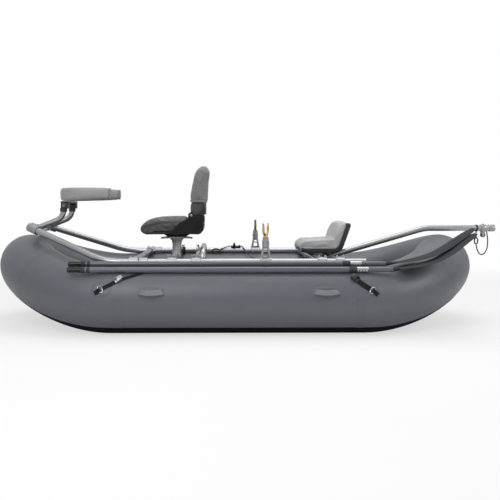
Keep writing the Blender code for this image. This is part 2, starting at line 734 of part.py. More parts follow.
def seat_cushion():
    nose, rear = PEDESTAL_X - SEAT_NOSE_AHEAD, PEDESTAL_X + CUSHION_BEHIND
    bottom, top, thick = CUSHION_BOTTOM, CUSHION_TOP, CUSHION_THICK
    outline = [(nose + 0.2 * thick, bottom), (rear, bottom), (rear, top), (PEDESTAL_X - 0.018, top),
               (PEDESTAL_X - thick, top - 0.05 * thick), (nose + 0.8 * thick, top - 0.18 * thick),
               (nose + 0.29 * thick, top - 0.43 * thick), (nose + 0.06 * thick, bottom + 0.36 * thick),
               (nose, bottom + 0.18 * thick)]
    cushion = side_plate("front_seat_cushion", outline, -CUSHION_HALF_WIDTH, CUSHION_HALF_WIDTH)
    finish(rounded(cushion, 0.012), CHARCOAL)


def seat_back():
    arm_out = SEAT_HALF_WIDTH - CHEEK_THICK - GAP
    arm_in = arm_out - BACK_ARM_THICK
    pad_half = arm_in - GAP
    bottom = HINGE_Z + HINGE_PIN_R / 2
    plate_front = SEAT_REAR + 0.002
    # The moulded rear plate and two arms that turn on the pins
    plate = box("seat_back_frame", (plate_front, -arm_out + 0.001, bottom),
                (plate_front + BACK_ARM_THICK, arm_out - 0.001, BACK_COVER_BOTTOM - GAP))
    arm = (arc((HINGE_X, HINGE_Z), HINGE_EAR_R - 0.003, 100, 280, 8)
           + [(HINGE_X + 0.03, HINGE_Z - 0.009), (plate_front + 0.009, bottom + 0.002),
              (plate_front + 0.009, bottom + 0.05), (HINGE_X + 0.04, HINGE_Z + 0.02)])
    joined, cut = [], []
    for side in (-1, 1):
        low, high = sorted((side * arm_in, side * arm_out))
        joined.append(side_plate(f"back_arm_{side + 1}", arm, low, high))
        bore_ends = [(HINGE_X, y, HINGE_Z) for y in (low - BACK_ARM_THICK, high + BACK_ARM_THICK)]
        bore = bore_radius(HINGE_PIN_R, 12, RUNNING_GAP)
        cut.append(cylinder(f"back_bore_{side + 1}", bore, *bore_ends, 12))
    finish(combine(plate, joined, cut), BLACK)
    face = HINGE_X - BACK_FACE_AHEAD
    lower = side_plate("seat_back_lower", [(face, bottom), (plate_front - GAP, bottom),
                                           (plate_front - GAP, BACK_COVER_BOTTOM - GAP),
                                           (face, BACK_COVER_BOTTOM - GAP)], -pad_half, pad_half)
    finish(rounded(lower, 0.006), CHARCOAL)
    # The cover's side view: from its hem, shares of its depth behind the face and of its height
    depth, height = plate_front + 0.018 - face, BACK_TOP - BACK_COVER_BOTTOM
    outline = [(face + depth * behind, BACK_COVER_BOTTOM + height * up) for behind, up in BACK_SHAPE]
    cover = side_plate("seat_back_cover", outline, -arm_out, arm_out)
    finish(rounded(cover, 0.01), MID_GREY)


BACK_SHAPE = ((-0.02, 0.0), (1.0, 0.0), (1.02, 0.24), (1.07, 0.59), (1.16, 0.84), (1.135, 0.94), (0.98, 1.0),
              (0.71, 1.0), (0.48, 0.92), (0.3, 0.77), (0.155, 0.475), (-0.01, 0.163))


# Rower's seat: a plate over two crossbars, a moulded shell and its pad

ROWER_PLATE_Z = RAIL_Z + PIPE_R + GAP
# Thick enough for the seat to clear the arm's clamp
ROWER_PLATE_THICK = FITTING_WALL + GAP
ROWER_SHELL_Z = ROWER_PLATE_Z + ROWER_PLATE_THICK + GAP
ROWER_PAD_TOP = ROWER_SHELL_Z + ROWER_PAD_RISE
ROWER_BACK_TOP = ROWER_SHELL_Z + ROWER_BACK_RISE


def rower_profile(offset):
    """The seat's outer line in X and Z, moved inwards by an offset, from front to back top."""
    centre = (ROWER_FRONT + ROWER_DEPTH, ROWER_SHELL_Z + ROWER_CORNER_R)
    radius = ROWER_CORNER_R - offset
    line = [(ROWER_FRONT + 0.02, ROWER_SHELL_Z + offset + 0.006),
            (ROWER_FRONT + 0.045, ROWER_SHELL_Z + offset)]
    line += arc(centre, radius, -90, -ROWER_LEAN, 6)
    foot = line[-1]
    lean = math.radians(ROWER_LEAN)
    run = (ROWER_BACK_TOP - 0.03 - foot[1]) / math.cos(lean)
    line.append((foot[0] + run * math.sin(lean), foot[1] + run * math.cos(lean)))
    return line


def narrowed(made, front_share, back_share):
    """The seat's plan is narrower at its front corners and at the top of its back."""
    for vertex in made.data.vertices:
        front = min(max((ROWER_FRONT + ROWER_AHEAD - vertex.co.x) / ROWER_AHEAD, 0.0), 1.0)
        tall = min(max((vertex.co.z - ROWER_PAD_TOP) / (ROWER_BACK_TOP - ROWER_PAD_TOP), 0.0), 1.0)
        vertex.co.y *= (1 - front_share * front ** 2) * (1 - back_share * tall ** 2)
    return made


def rower_seat():
    clear = ARM_CLAMP_LENGTH / 2 + 0.005
    plate = box("rower_seat_plate", (SEAT_CROSSBAR_X - ROWER_PLATE_MARGIN, -ROWER_PLATE_HALF, ROWER_PLATE_Z),
                (REAR_CROSSBAR_X + ROWER_PLATE_MARGIN, ROWER_PLATE_HALF, ROWER_PLATE_Z + ROWER_PLATE_THICK))
    # The plate forks round the anchor arm's clamp
    fork = box("rower_plate_fork", (REAR_CROSSBAR_X - FITTING_R - 0.005, -clear, RAIL_Z),
               (REAR_CROSSBAR_X + 2 * ROWER_PLATE_MARGIN, clear, ROWER_PLATE_Z + 2 * ROWER_PLATE_THICK))
    finish(combine(plate, (), [fork]), ALUMINIUM)
    outer, inner = rower_profile(0.0), rower_profile(ROWER_SHELL_THICK)
    shell = side_plate("rower_seat_shell", outer + inner[::-1], -ROWER_HALF_WIDTH, ROWER_HALF_WIDTH)
    finish(narrowed(shell, 0.16, 0.12), BLACK)
    under = rower_profile(ROWER_SHELL_THICK + GAP)
    back_x, back_z = under[-1]
    top = [(back_x - 0.004, ROWER_BACK_TOP - 0.006), (back_x - 0.022, ROWER_BACK_TOP),
           (back_x - 0.045, ROWER_BACK_TOP - 0.004), (back_x - 0.07, ROWER_BACK_TOP - 0.03),
           (back_x - 0.085, ROWER_BACK_TOP - 0.075), (back_x - 0.1, ROWER_PAD_TOP + 0.008),
           (back_x - 0.125, ROWER_PAD_TOP), (ROWER_FRONT + 0.045, ROWER_PAD_TOP - 0.004),
           (ROWER_FRONT + 0.012, ROWER_PAD_TOP - 0.02), (ROWER_FRONT, ROWER_PAD_TOP - 0.042),
           (ROWER_FRONT + 0.004, ROWER_PAD_TOP - 0.065)]
    pad = side_plate("rower_seat_pad", under + top, -ROWER_HALF_WIDTH + 0.004, ROWER_HALF_WIDTH - 0.004)
    finish(narrowed(pad, 0.16, 0.12), LIGHT_GREY)


# Oar towers with their bushings, and the swivelling oarlocks

def oar_stations():
    for name, side in (("port", -1), ("starboard", 1)):
        y = side * RAIL_Y
        neck = TOWER_TOP - TOWER_COLLAR
        collar = cylinder(f"oar_tower_{name}", TOWER_TUBE_R, (TOWER_X, y, neck), (TOWER_X, y, TOWER_TOP))
        body, cut = rail_clamp(f"tower_{name}", TOWER_X, side, TOWER_BASE)
        frame = side_plate(f"tower_frame_{name}", tower_outline(0.0, RAIL_Z + PIPE_R / 2, neck + 0.01),
                           y - TOWER_PLATE / 2, y + TOWER_PLATE / 2)
        # Two windows, with a tie between them, leave the A-frame's legs
        sill, head = RAIL_Z + FITTING_R + TOWER_TIE, neck - TOWER_TIE
        tie = sill + (head - sill) * 0.55
        for label, low, high in (("low", sill, tie), ("high", tie + TOWER_TIE, head)):
            cut.append(side_plate(f"window_{label}_{name}", tower_outline(TOWER_LEG, low, high),
                                  y - TOWER_PLATE, y + TOWER_PLATE))
        bushing = cylinder(f"bushing_{name}", TOWER_TUBE_R - BUSHING_INSET, (TOWER_X, y, TOWER_TOP - 0.01),
                           (TOWER_X, y, BUSHING_TOP))
        socket_ends = [(TOWER_X, y, z) for z in (TOWER_TOP - STEM_DEPTH - STEM_R / 2, BUSHING_TOP + 0.01)]
        cut.append(cylinder(f"stem_socket_{name}", bore_radius(STEM_R, 12, RUNNING_GAP), *socket_ends, 12))
        finish(combine(collar, [body, frame, bushing], cut), ALUMINIUM)
        oarlock(name, y)


def tower_outline(inset, low, high):
    """The A-frame's side view between two heights, moved in from its edge by an inset."""
    half_base, half_top = TOWER_BASE / 2, TOWER_TUBE_R
    halves = [half_base + (half_top - half_base) * (z - RAIL_Z) / (TOWER_TOP - TOWER_COLLAR - RAIL_Z) - inset
              for z in (low, high)]
    return [(TOWER_X - halves[0], low), (TOWER_X + halves[0], low), (TOWER_X + halves[1], high),
            (TOWER_X - halves[1], high)]


def oarlock(name, y):
    stem = cylinder(f"oarlock_{name}", STEM_R, (0, 0, TOWER_TOP - STEM_DEPTH), (0, 0, BUSHING_TOP + 0.012),
                    12)
    washer = cylinder(f"oarlock_washer_{name}", WASHER_R, (0, 0, BUSHING_TOP + RUNNING_GAP),
                      (0, 0, BUSHING_TOP + 0.008))
    half = HORN_WIDTH / 2
    bottom = BUSHING_TOP + 0.006 + HORN_R
    bend = arc((0, bottom + half), half, 180, 360, 10)
    tip, flare = (half + HORN_FLARE, HORN_TOP), (half, HORN_TOP - 3 * HORN_FLARE)
    route = [(-tip[0], 0, tip[1]), (-flare[0], 0, flare[1])] + [(x, 0, z) for x, z in bend]
    route += [(flare[0], 0, flare[1]), (tip[0], 0, tip[1])]
    horns = pipe(f"oarlock_horns_{name}", route, HORN_R, 3)
    made = combine(stem, [washer, horns])
    turn = Matrix.Translation((TOWER_X, y, 0)) @ Matrix.Rotation(math.radians(OARLOCK_TURN[name]), 4, "Z")
    for piece in (stem, washer, horns):
        piece.matrix_world = turn
    finish(made, BRONZE)


# Oars: grip and shaft in one, ferrule and spoon blade in one

# The upper oar lies in the corner between the tube's crown and the rail's fittings
RAIL_REACH = FITTING_R + OAR_R + GAP
TUBE_REACH = TUBE_R + OAR_R + GAP
RAIL_HEIGHT = RAIL_Z - TUBE_R
UPPER_OAR_RISE = (TUBE_REACH ** 2 - RAIL_REACH ** 2 + RAIL_HEIGHT ** 2) / (2 * RAIL_HEIGHT)
UPPER_OAR_TURN = math.asin(UPPER_OAR_RISE / TUBE_REACH)
# The lower one lies on the tube too, one spacing further down
LOWER_OAR_TURN = UPPER_OAR_TURN - 2 * math.asin(OAR_SPACING / 2 / TUBE_REACH)
# Name, degrees up from the tube's side in radians, where the grip starts, and how far aft its joint lies
OARS = (("oar_upper", UPPER_OAR_TURN, -1.125, 0.0), ("oar_lower", LOWER_OAR_TURN, -1.115, 0.026))
# Along the blade from its neck, as shares: distance, rise, and width
BLADE_STATIONS = ((0.0, 0.0, 0.0), (0.055, 0.005, 0.02), (0.164, 0.038, 0.35), (0.291, 0.094, 0.72),
                  (0.436, 0.178, 0.94), (0.564, 0.291, 1.0), (0.691, 0.469, 1.0), (0.818, 0.695, 0.97),
                  (0.927, 0.883, 0.82), (1.0, 1.0, 0.45))


def oars():
    for name, turn, start, aft in OARS:
        y, z = -TUBE_Y - TUBE_REACH * math.cos(turn), TUBE_R + TUBE_REACH * math.sin(turn)
        grip_end = start + OAR_GRIP_LENGTH
        sleeve, ferrule = OAR_SLEEVE_X + aft, OAR_JOINT_X + aft
        # Radius changes along the shaft: grip, collar, shaft, second collar, shaft, sleeve
        steps = ((start, OAR_GRIP_R * 0.8), (start + 0.006, OAR_GRIP_R), (grip_end, OAR_GRIP_R),
                 (grip_end + 0.002, OAR_SLEEVE_R), (grip_end + 0.05, OAR_SLEEVE_R), (grip_end + 0.052, OAR_R),
                 (sleeve, OAR_R), (sleeve + 0.002, OAR_SLEEVE_R), (ferrule - 0.002, OAR_SLEEVE_R),
                 (ferrule, OAR_R))
        places = [(x, y, z) for x, _ in steps]
        finish(pipe(f"{name}_shaft", places, OAR_R, 6, [radius for _, radius in steps]), OAR_GREY)
        oar_blade(name, Vector((ferrule + GAP, y, z)), Vector((ferrule + OAR_SHANK, y, z)))


def oar_blade(name, joint, neck):
    """The shank from its joint to its neck, and the blade that curves up from there."""
    tilt = math.radians(BLADE_TILT)
    across = Vector((0, math.cos(tilt), math.sin(tilt)))
    ahead = Vector((1, 0, 0))
    shank = OAR_R - 0.003
    rings = [ring_at(place, ahead, across, shank, shank) for place in (joint, (joint + neck) / 2)]
    places = [neck + Vector((run * BLADE_LENGTH, 0, rise * BLADE_RISE)) for run, rise, _ in BLADE_STATIONS]
    for index, (place, (_, _, width)) in enumerate(zip(places, BLADE_STATIONS)):
        heading = (places[min(index + 1, len(places) - 1)] - places[max(index - 1, 0)]).normalized()
        flatten = min(index / 2, 1.0)
        thick = (shank - 0.002) * (1 - flatten) + BLADE_THICK / 2 * flatten
        half = max(BLADE_WIDTH / 2 * width, (shank - 0.001) * (1 - width))
        rings.append(ring_at(place, heading, across, half, thick))
    finish(loft(f"{name}_blade", rings), OAR_GREY)


def ring_at(centre, heading, across, half_width, half_thick, sides=12):
    upwards = heading.cross(across).normalized()
    ring = []
    for step in range(sides):
        angle = 2 * math.pi * (step + 0.5) / sides
        ring.append(centre + across * half_width * math.cos(angle) + upwards * half_thick * math.sin(angle))
    return ring


# Stern anchor arm with its block

def anchor_gear():
    corners = ((REAR_CROSSBAR_X, 0, RAIL_Z), (REAR_CROSSBAR_X + ARM_STRAIGHT, 0, RAIL_Z),
               (ARM_BEND_X, 0, ARM_Z), (ARM_TIP_X - 0.002, 0, ARM_Z))
    route = [Vector(corners[0])] + bent_path(corners[1:], ARM_BEND_R, 5)
    arm = pipe("anchor_arm", route, ARM_R, 6)
    body, bore = bar_clamp("anchor_arm", REAR_CROSSBAR_X, 0, RAIL_Z, ARM_CLAMP_LENGTH)
    cap = cylinder("arm_cap", ARM_R + ARM_CAP_WALL, (ARM_TIP_X - ARM_CAP_LENGTH, 0, ARM_Z),
                   (ARM_TIP_X, 0, ARM_Z))
    finish(combine(arm, [body, cap], [bore]), ALUMINIUM)
    half = BLOCK_LENGTH / 2
    collar = cylinder("anchor_block", ARM_R + BLOCK_WALL, (BLOCK_X - half, 0, ARM_Z),
                      (BLOCK_X + half, 0, ARM_Z))
    cheek_in = SHEAVE_WIDTH / 2 + 3 * RUNNING_GAP
    joined = []
    for side in (-1, 1):
        low, high = sorted((side * cheek_in, side * (cheek_in + CHEEK_PLATE)))
        outline = [(BLOCK_X + edge * BLOCK_CHEEK_R, ARM_Z - 0.75 * ARM_R) for edge in (1, -1)]
        outline += arc((BLOCK_X, SHEAVE_Z), BLOCK_CHEEK_R, 180, 360, 8)
        joined.append(side_plate(f"block_cheek_{side + 1}", outline, low, high))
    reach = cheek_in + CHEEK_PLATE * 0.7
    joined.append(cylinder("sheave_axle", AXLE_R, (BLOCK_X, -reach, SHEAVE_Z), (BLOCK_X, reach, SHEAVE_Z), 8))
    bore = cylinder("block_bore", bore_radius(ARM_R), (BLOCK_X - BLOCK_LENGTH, 0, ARM_Z),
                    (BLOCK_X + BLOCK_LENGTH, 0, ARM_Z))
    finish(combine(collar, joined, [bore]), CAST)
    half = SHEAVE_WIDTH / 2
    hole = bore_radius(AXLE_R, 16, RUNNING_GAP)
    groove = SHEAVE_R - SHEAVE_GROOVE
    profile = ((hole, half), (SHEAVE_R, half), (groove, 0.0), (SHEAVE_R, -half), (hole, -half), (hole, half))
    sheave = turned("anchor_sheave", profile, (BLOCK_X, 0, SHEAVE_Z), 16)
    sheave.rotation_euler = (math.pi / 2, 0, 0)
    finish(sheave, BLACK)


# Anchor line: a cam cleat on the starboard rail, the pull ring beside it, and the tail clipped to the arm

CLEAT_Z = RAIL_Z + PIPE_R + GAP
CLEAT_TOP = CLEAT_Z + CLEAT_BASE + CLEAT_JAW_HEIGHT
LINE_Z = CLEAT_Z + CLEAT_BASE + LINE_R + 2 * GAP
PULL_Z = TUBE_R + math.sqrt(TUBE_R ** 2 - (PIPE_R + 2 * PULL_WIRE_R) ** 2) + PULL_HEIGHT / 2 + PULL_WIRE_R
PULL_Y = RAIL_Y - PIPE_R - PULL_WIRE_R - GAP
UNDER_BAR_Z = RAIL_Z - PIPE_R - LINE_R - GAP
# The line runs from the cleat's lead, under two crossbars, to the arm's foot
LINE_ROUTE = ((CLEAT_X + CLEAT_LENGTH / 2 + GAP, RAIL_Y, LINE_Z),
              (-0.026, RAIL_Y - 0.012, LINE_Z - 0.0072), (-0.002, 0.455, 0.424), (0.022, 0.41, 0.4),
              (0.045, 0.365, 0.385), (0.09, 0.31, 0.375), (0.16, 0.262, 0.374), (0.25, 0.215, 0.379),
              (0.34, 0.17, 0.391), (SEAT_CROSSBAR_X, 0.13, UNDER_BAR_Z),
              (0.475, 0.1, UNDER_BAR_Z - 0.001), (REAR_CROSSBAR_X, 0.075, UNDER_BAR_Z), (0.57, 0.052, 0.412),
              (0.6, 0.035, 0.426))
# The pull's cord runs forward from the cleat, over the rail's inner side to the ring
PULL_ROUTE = ((CLEAT_X - CLEAT_LENGTH / 2 - GAP, RAIL_Y, LINE_Z), (-0.128, RAIL_Y - 0.002, LINE_Z - 0.0005),
              (-0.143, RAIL_Y - 0.007, LINE_Z - 0.004), (-0.16, RAIL_Y - 0.013, LINE_Z - 0.0075),
              (-0.178, RAIL_Y - 0.0225, LINE_Z - 0.0152), (-0.191, PULL_Y, PULL_Z + 0.0147),
              (-0.2006, PULL_Y, PULL_Z + 0.0085))
# The tail leaves the arm's underside behind the block, hangs in a loop and comes back to the snap
DROP_ROUTE = ((BLOCK_X + 0.027, 0, ARM_Z - ARM_R - 2 * GAP), (1.649, 0, 0.57), (1.653, 0, 0.538),
              (1.652, 0, 0.5), (1.645, 0, 0.468), (1.631, 0, 0.446), (1.612, 0, 0.437), (1.595, 0, 0.445),
              (1.584, 0, 0.463), (1.577, 0, 0.485),
              (SNAP_X, 0, ARM_Z - SNAP_DROP - ARM_R - SNAP_WIRE_R - GAP))


def cord(name, points):
    finish(pipe(name, smooth_path(points, 3), LINE_R, 2), ROPE)


def anchor_line():
    base = box("line_cleat", (CLEAT_X - CLEAT_LENGTH / 2, RAIL_Y - CLEAT_WIDTH / 2, CLEAT_Z),
               (CLEAT_X + CLEAT_LENGTH / 2, RAIL_Y + CLEAT_WIDTH / 2, CLEAT_Z + CLEAT_BASE))
    floor_z = CLEAT_Z + CLEAT_BASE - 0.002
    joined = []
    # Two cam jaws grip the line, and a lead ring guides it aft
    for side in (-1, 1):
        y = RAIL_Y + side * (CLEAT_JAW_R * 0.8 + LINE_R)
        joined.append(cylinder(f"jaw_{side + 1}", CLEAT_JAW_R, (CLEAT_X - 0.012, y, floor_z),
                               (CLEAT_X - 0.012, y, floor_z + CLEAT_JAW_HEIGHT), 12))
    bridge_z = floor_z + CLEAT_JAW_HEIGHT - 0.005
    joined.append(box("cleat_bridge", (CLEAT_X - 0.02, RAIL_Y - 1.6 * CLEAT_JAW_R, bridge_z),
                      (CLEAT_X - 0.004, RAIL_Y + 1.6 * CLEAT_JAW_R, CLEAT_TOP + 0.008)))
    lead_x = CLEAT_X + CLEAT_LENGTH / 2 - 0.01
    joined.append(box("cleat_lead", (lead_x - 0.006, RAIL_Y - CLEAT_LEAD_R, floor_z),
                      (lead_x + 0.006, RAIL_Y + CLEAT_LEAD_R, LINE_Z + CLEAT_LEAD_R)))
    finish(combine(base, joined), BLACK)
    ring = []
    for step in range(18):
        turn = 2 * math.pi * step / 18
        ring.append((PULL_X + PULL_LENGTH / 2 * math.cos(turn), PULL_Y,
                     PULL_Z + PULL_HEIGHT / 2 * math.sin(turn)))
    finish(pipe("pull_ring", ring, PULL_WIRE_R, 2, closed=True), BLACK)
    cord("line_pull", PULL_ROUTE)
    cord("anchor_line", LINE_ROUTE)
    cord("anchor_drop", DROP_ROUTE)
    anchor_snap()


def anchor_snap():
    """A band round the arm with an eye and a long snap hook hung from it."""
    half = SNAP_BAND / 2
    band = cylinder("anchor_snap", ARM_R + ARM_CAP_WALL, (SNAP_X - half, 0, ARM_Z), (SNAP_X + half, 0, ARM_Z))
    bore = cylinder("snap_bore", bore_radius(ARM_R), (SNAP_X - SNAP_BAND, 0, ARM_Z),
                    (SNAP_X + SNAP_BAND, 0, ARM_Z))
    # The hook is a long ring, whose lower end is the snap's foot
    radius = SNAP_WIDTH / 2
    middle = ARM_Z - ARM_R - SNAP_DROP + SNAP_LENGTH / 2
    shank = cylinder("snap_shank", SNAP_WIRE_R, (SNAP_X, 0, middle + SNAP_LENGTH / 2),
                     (SNAP_X, 0, ARM_Z - ARM_R - ARM_CAP_WALL / 2), 12)
    hook = []
    for step in range(12):
        turn = math.pi * (2 * step + 1) / 12
        stretch = math.copysign(SNAP_LENGTH / 2 - radius, math.sin(turn))
        hook.append((SNAP_X + radius * math.cos(turn), 0, middle + stretch + radius * math.sin(turn)))
    loop = pipe("snap_loop", hook, SNAP_WIRE_R, 2, closed=True)
    finish(combine(band, [shank, loop], [bore]), STEEL)


# Tie-down patches with rings and straps, and carry handles, all wrapped on the tube

def on_tube(x, degrees, side, lift):
    """A point above the tube's skin, square to its centre line, and the skin's outward direction there."""
    along = abs(x - HULL_MIDDLE_X)
    towards = math.copysign(1.0, x - HULL_MIDDLE_X)
    stations = [(0.0, TUBE_Y, TUBE_R, TUBE_R)]
    stations += [(place[0] - HULL_MIDDLE_X, abs(place[1]), place[2], place[3])
                 for place in end_route(1)[:END_STEPS // 2]]
    for before, after in zip(stations, stations[1:]):
        if along <= after[0]:
            break
    share = (along - before[0]) / (after[0] - before[0])
    out, height, radius = (before[i] + (after[i] - before[i]) * share for i in (1, 2, 3))
    heading = Vector(((after[0] - before[0]) * towards, side * (after[1] - before[1]),
                      after[2] - before[2])).normalized()
    outward = Vector((-heading.y, heading.x, 0)).normalized()
    outward *= math.copysign(1.0, outward.y * side)
    upward = heading.cross(outward)
    upward *= math.copysign(1.0, upward.z)
    angle = math.radians(degrees)
    normal = outward * math.cos(angle) + upward * math.sin(angle)
    return Vector((x, side * out, height)) + normal * (radius + lift), normal


def wrapped_patch(name, x, degrees, side, length, width, lift=PATCH_LIFT):
    half_turn = math.degrees(width / 2 / TUBE_R)
    rings = []
    for index in range(7):
        turn = degrees - half_turn + 2 * half_turn * index / 6
        under, over = ([on_tube(x + length * (part / 4 - 0.5), turn, side, height)[0] for part in range(5)]
                       for height in (lift, lift + PATCH_THICK))
        rings.append(under + over[::-1])
    return loft(name, rings)


def band(name, places, normals, width, thick):
    rings = []
    for index, (place, normal) in enumerate(zip(places, normals)):
        heading = (places[min(index + 1, len(places) - 1)] - places[max(index - 1, 0)]).normalized()
        across = heading.cross(normal).normalized() * width / 2
        lift = normal * thick
        rings.append([place - across, place + across, place + across + lift, place - across + lift])
    return loft(name, rings)


def tie_downs():
    for side_name, side in (("port", -1), ("starboard", 1)):
        for end, ring_x, ring_turn, strap_x, strap_turn in TIE_DOWNS:
            name = f"tie_down_{end}_{side_name}"
            patch = wrapped_patch(name, ring_x, ring_turn, side, PATCH_SIZE, PATCH_SIZE, TIE_DOWN_LIFT)
            middle, normal = on_tube(ring_x, ring_turn, side, TIE_DOWN_LIFT + PATCH_THICK + RING_WIRE_R / 2)
            ahead = Vector((1, 0, 0))
            upwards = ahead.cross(normal).normalized()
            ring = []
            for step in range(12):
                angle = 2 * math.pi * step / 12
                ring.append(middle + RING_R * (ahead * math.cos(angle) + upwards * math.sin(angle)))
            wire = pipe(f"{name}_ring", ring, RING_WIRE_R, 2, closed=True)
            places, normals = [], []
            for step in range(7):
                # The strap starts a little way up from the ring's middle
                share = 0.15 + 0.85 * step / 6
                x = ring_x + (strap_x - ring_x) * share
                turn = ring_turn + (strap_turn - ring_turn) * share
                place, direction = on_tube(x, turn, side, TIE_DOWN_LIFT + PATCH_THICK - RUNNING_GAP)
                places.append(place)
                normals.append(direction)
            strap = band(f"{name}_strap", places, normals, STRAP_WIDTH, STRAP_THICK)
            finish(combine(patch, [wire, strap]), WEBBING)


def handles():
    for side_name, side in (("port", -1), ("starboard", 1)):
        for end, x in HANDLES:
            name = f"handle_{end}_{side_name}"
            patch = wrapped_patch(name, x, HANDLE_ANGLE, side, HANDLE_LENGTH, HANDLE_PATCH_HEIGHT)
            places, normals = [], []
            for step in range(11):
                # The loop stands out from the patch and droops at its middle
                share = step / 10
                swell = math.sin(math.pi * share) ** 0.7 if 0 < step < 10 else 0.0
                along = x + (share - 0.5) * HANDLE_LENGTH * 0.86
                place, direction = on_tube(along, HANDLE_ANGLE - HANDLE_DROOP * swell, side,
                                           PATCH_THICK + HANDLE_RISE * swell)
                places.append(place)
                normals.append(direction)
            loop = band(f"{name}_loop", places, normals, HANDLE_WIDTH, HANDLE_THICK)
            finish(combine(patch, [loop]), WEBBING)


hull_tubes()
floor()
rails()
crossbars()
bow_bar()
foot_bar()
thigh_brace()
pedestal()
swivel()
seat_frame()
seat_cushion()
seat_back()
rower_seat()
oar_stations()
oars()
anchor_gear()
anchor_line()
tie_downs()
handles()
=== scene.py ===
# Fishing raft, dressed for the render. Metres, +Z up; the bow points to -X and the port side to -Y.
import math

import bmesh
import bpy
import numpy as np
from mathutils import Matrix, Vector


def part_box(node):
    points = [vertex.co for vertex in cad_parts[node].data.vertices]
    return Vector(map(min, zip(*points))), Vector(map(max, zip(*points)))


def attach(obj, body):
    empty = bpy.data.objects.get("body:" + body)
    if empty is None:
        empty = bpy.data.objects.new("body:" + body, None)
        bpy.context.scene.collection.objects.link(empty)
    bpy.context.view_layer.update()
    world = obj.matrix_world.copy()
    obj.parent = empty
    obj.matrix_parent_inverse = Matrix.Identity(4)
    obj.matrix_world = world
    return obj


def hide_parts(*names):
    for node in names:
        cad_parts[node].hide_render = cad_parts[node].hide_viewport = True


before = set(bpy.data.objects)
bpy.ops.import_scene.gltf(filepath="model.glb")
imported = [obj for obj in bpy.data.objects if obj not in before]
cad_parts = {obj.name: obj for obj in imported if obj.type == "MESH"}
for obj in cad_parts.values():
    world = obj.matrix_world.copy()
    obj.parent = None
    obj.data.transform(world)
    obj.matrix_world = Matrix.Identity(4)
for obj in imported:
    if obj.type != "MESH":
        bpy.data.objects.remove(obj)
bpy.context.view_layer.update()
scene = bpy.context.scene
aft, starboard, up = Vector((1, 0, 0)), Vector((0, 1, 0)), Vector((0, 0, 1))
print("frame loaded:", len(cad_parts), "nodes")


# Camera, lamps and floor

photo = {
    "place": (-0.2321, -4.4269, 0.7709), "yaw": 0.575, "pitch": 2.104, "clip": (0.05, 200.0),
    "focalPixels": 641.2, "imagePixels": 500, "sensor": 36.0, "shiftX": 0.055, "shiftY": -0.04,
}
studio = {
    "floorSize": 60.0, "floorZ": -0.0018, "floorColour": (0.9, 0.9, 0.9), "floorRoughness": 0.85,
    "floorGlow": 0.62, "glowFrom": 2.2, "glowFull": 5.0, "worldFrom": -0.5, "worldFull": 0.9,
    "worldTop": (1.0, 1.0, 1.0), "worldLow": (0.42, 0.42, 0.43), "worldLight": 0.52, "worldGloss": 0.9,
    "lamps": (("frontLamp", (-1.6, -3.6, 2.9), (0.1, 0.0, 0.3), 2.4, 62.0),
              ("topLamp", (0.3, 0.4, 3.4), (0.0, 0.0, 0.4), 3.2, 60.0),
              ("sternLamp", (3.6, -1.8, 2.0), (0.4, 0.0, 0.4), 1.6, 26.0)),
}


def addNode(tree, kind, inputs=None, **settings):
    # A node whose inputs are plain values or other nodes' outputs
    node = tree.nodes.new(kind)
    for label, value in settings.items():
        setattr(node, label, value)
    for label, value in (inputs or {}).items():
        if isinstance(value, bpy.types.NodeSocket):
            tree.links.new(value, node.inputs[label])
        else:
            node.inputs[label].default_value = value
    return node


def addObject(name, data):
    made = bpy.data.objects.new(name, data)
    scene.collection.objects.link(made)
    return made


def makeCamera():
    data = bpy.data.cameras.new("photoView")
    data.sensor_width = photo["sensor"]
    data.lens = photo["focalPixels"] / photo["imagePixels"] * photo["sensor"]
    data.shift_x, data.shift_y = photo["shiftX"], photo["shiftY"]
    data.clip_start, data.clip_end = photo["clip"]
    scene.camera = addObject("photoView", data)
    scene.camera.location = photo["place"]
    scene.camera.rotation_euler = (math.radians(90.0 - photo["pitch"]), 0.0, -math.radians(photo["yaw"]))


def makeWorld():
    # White to the camera, a soft grey-to-white gradient to the surfaces, brighter in reflections
    scene.world = bpy.data.worlds.new("studio")
    scene.world.use_nodes = True
    tree = scene.world.node_tree
    tree.nodes.clear()
    path, place = addNode(tree, "ShaderNodeLightPath"), addNode(tree, "ShaderNodeTexCoord")
    split = addNode(tree, "ShaderNodeSeparateXYZ", {0: place.outputs["Generated"]})
    ramp = addNode(tree, "ShaderNodeMapRange", {"Value": split.outputs["Z"], "From Min": studio["worldFrom"],
                                                "From Max": studio["worldFull"]})
    mix = addNode(tree, "ShaderNodeMix", {"Factor": ramp.outputs["Result"], "A": (*studio["worldLow"], 1),
                                          "B": (*studio["worldTop"], 1)}, data_type="RGBA")
    soft, gloss = (addNode(tree, "ShaderNodeBackground", {"Color": mix.outputs["Result"], "Strength": strength})
                   for strength in (studio["worldLight"], studio["worldGloss"]))
    seen = addNode(tree, "ShaderNodeBackground", {"Color": (1, 1, 1, 1)})
    lit = addNode(tree, "ShaderNodeMixShader", {0: path.outputs["Is Glossy Ray"], 1: soft.outputs[0],
                                                2: gloss.outputs[0]})
    last = addNode(tree, "ShaderNodeMixShader", {0: path.outputs["Is Camera Ray"], 1: lit.outputs[0],
                                                 2: seen.outputs[0]})
    addNode(tree, "ShaderNodeOutputWorld", {"Surface": last.outputs[0]})


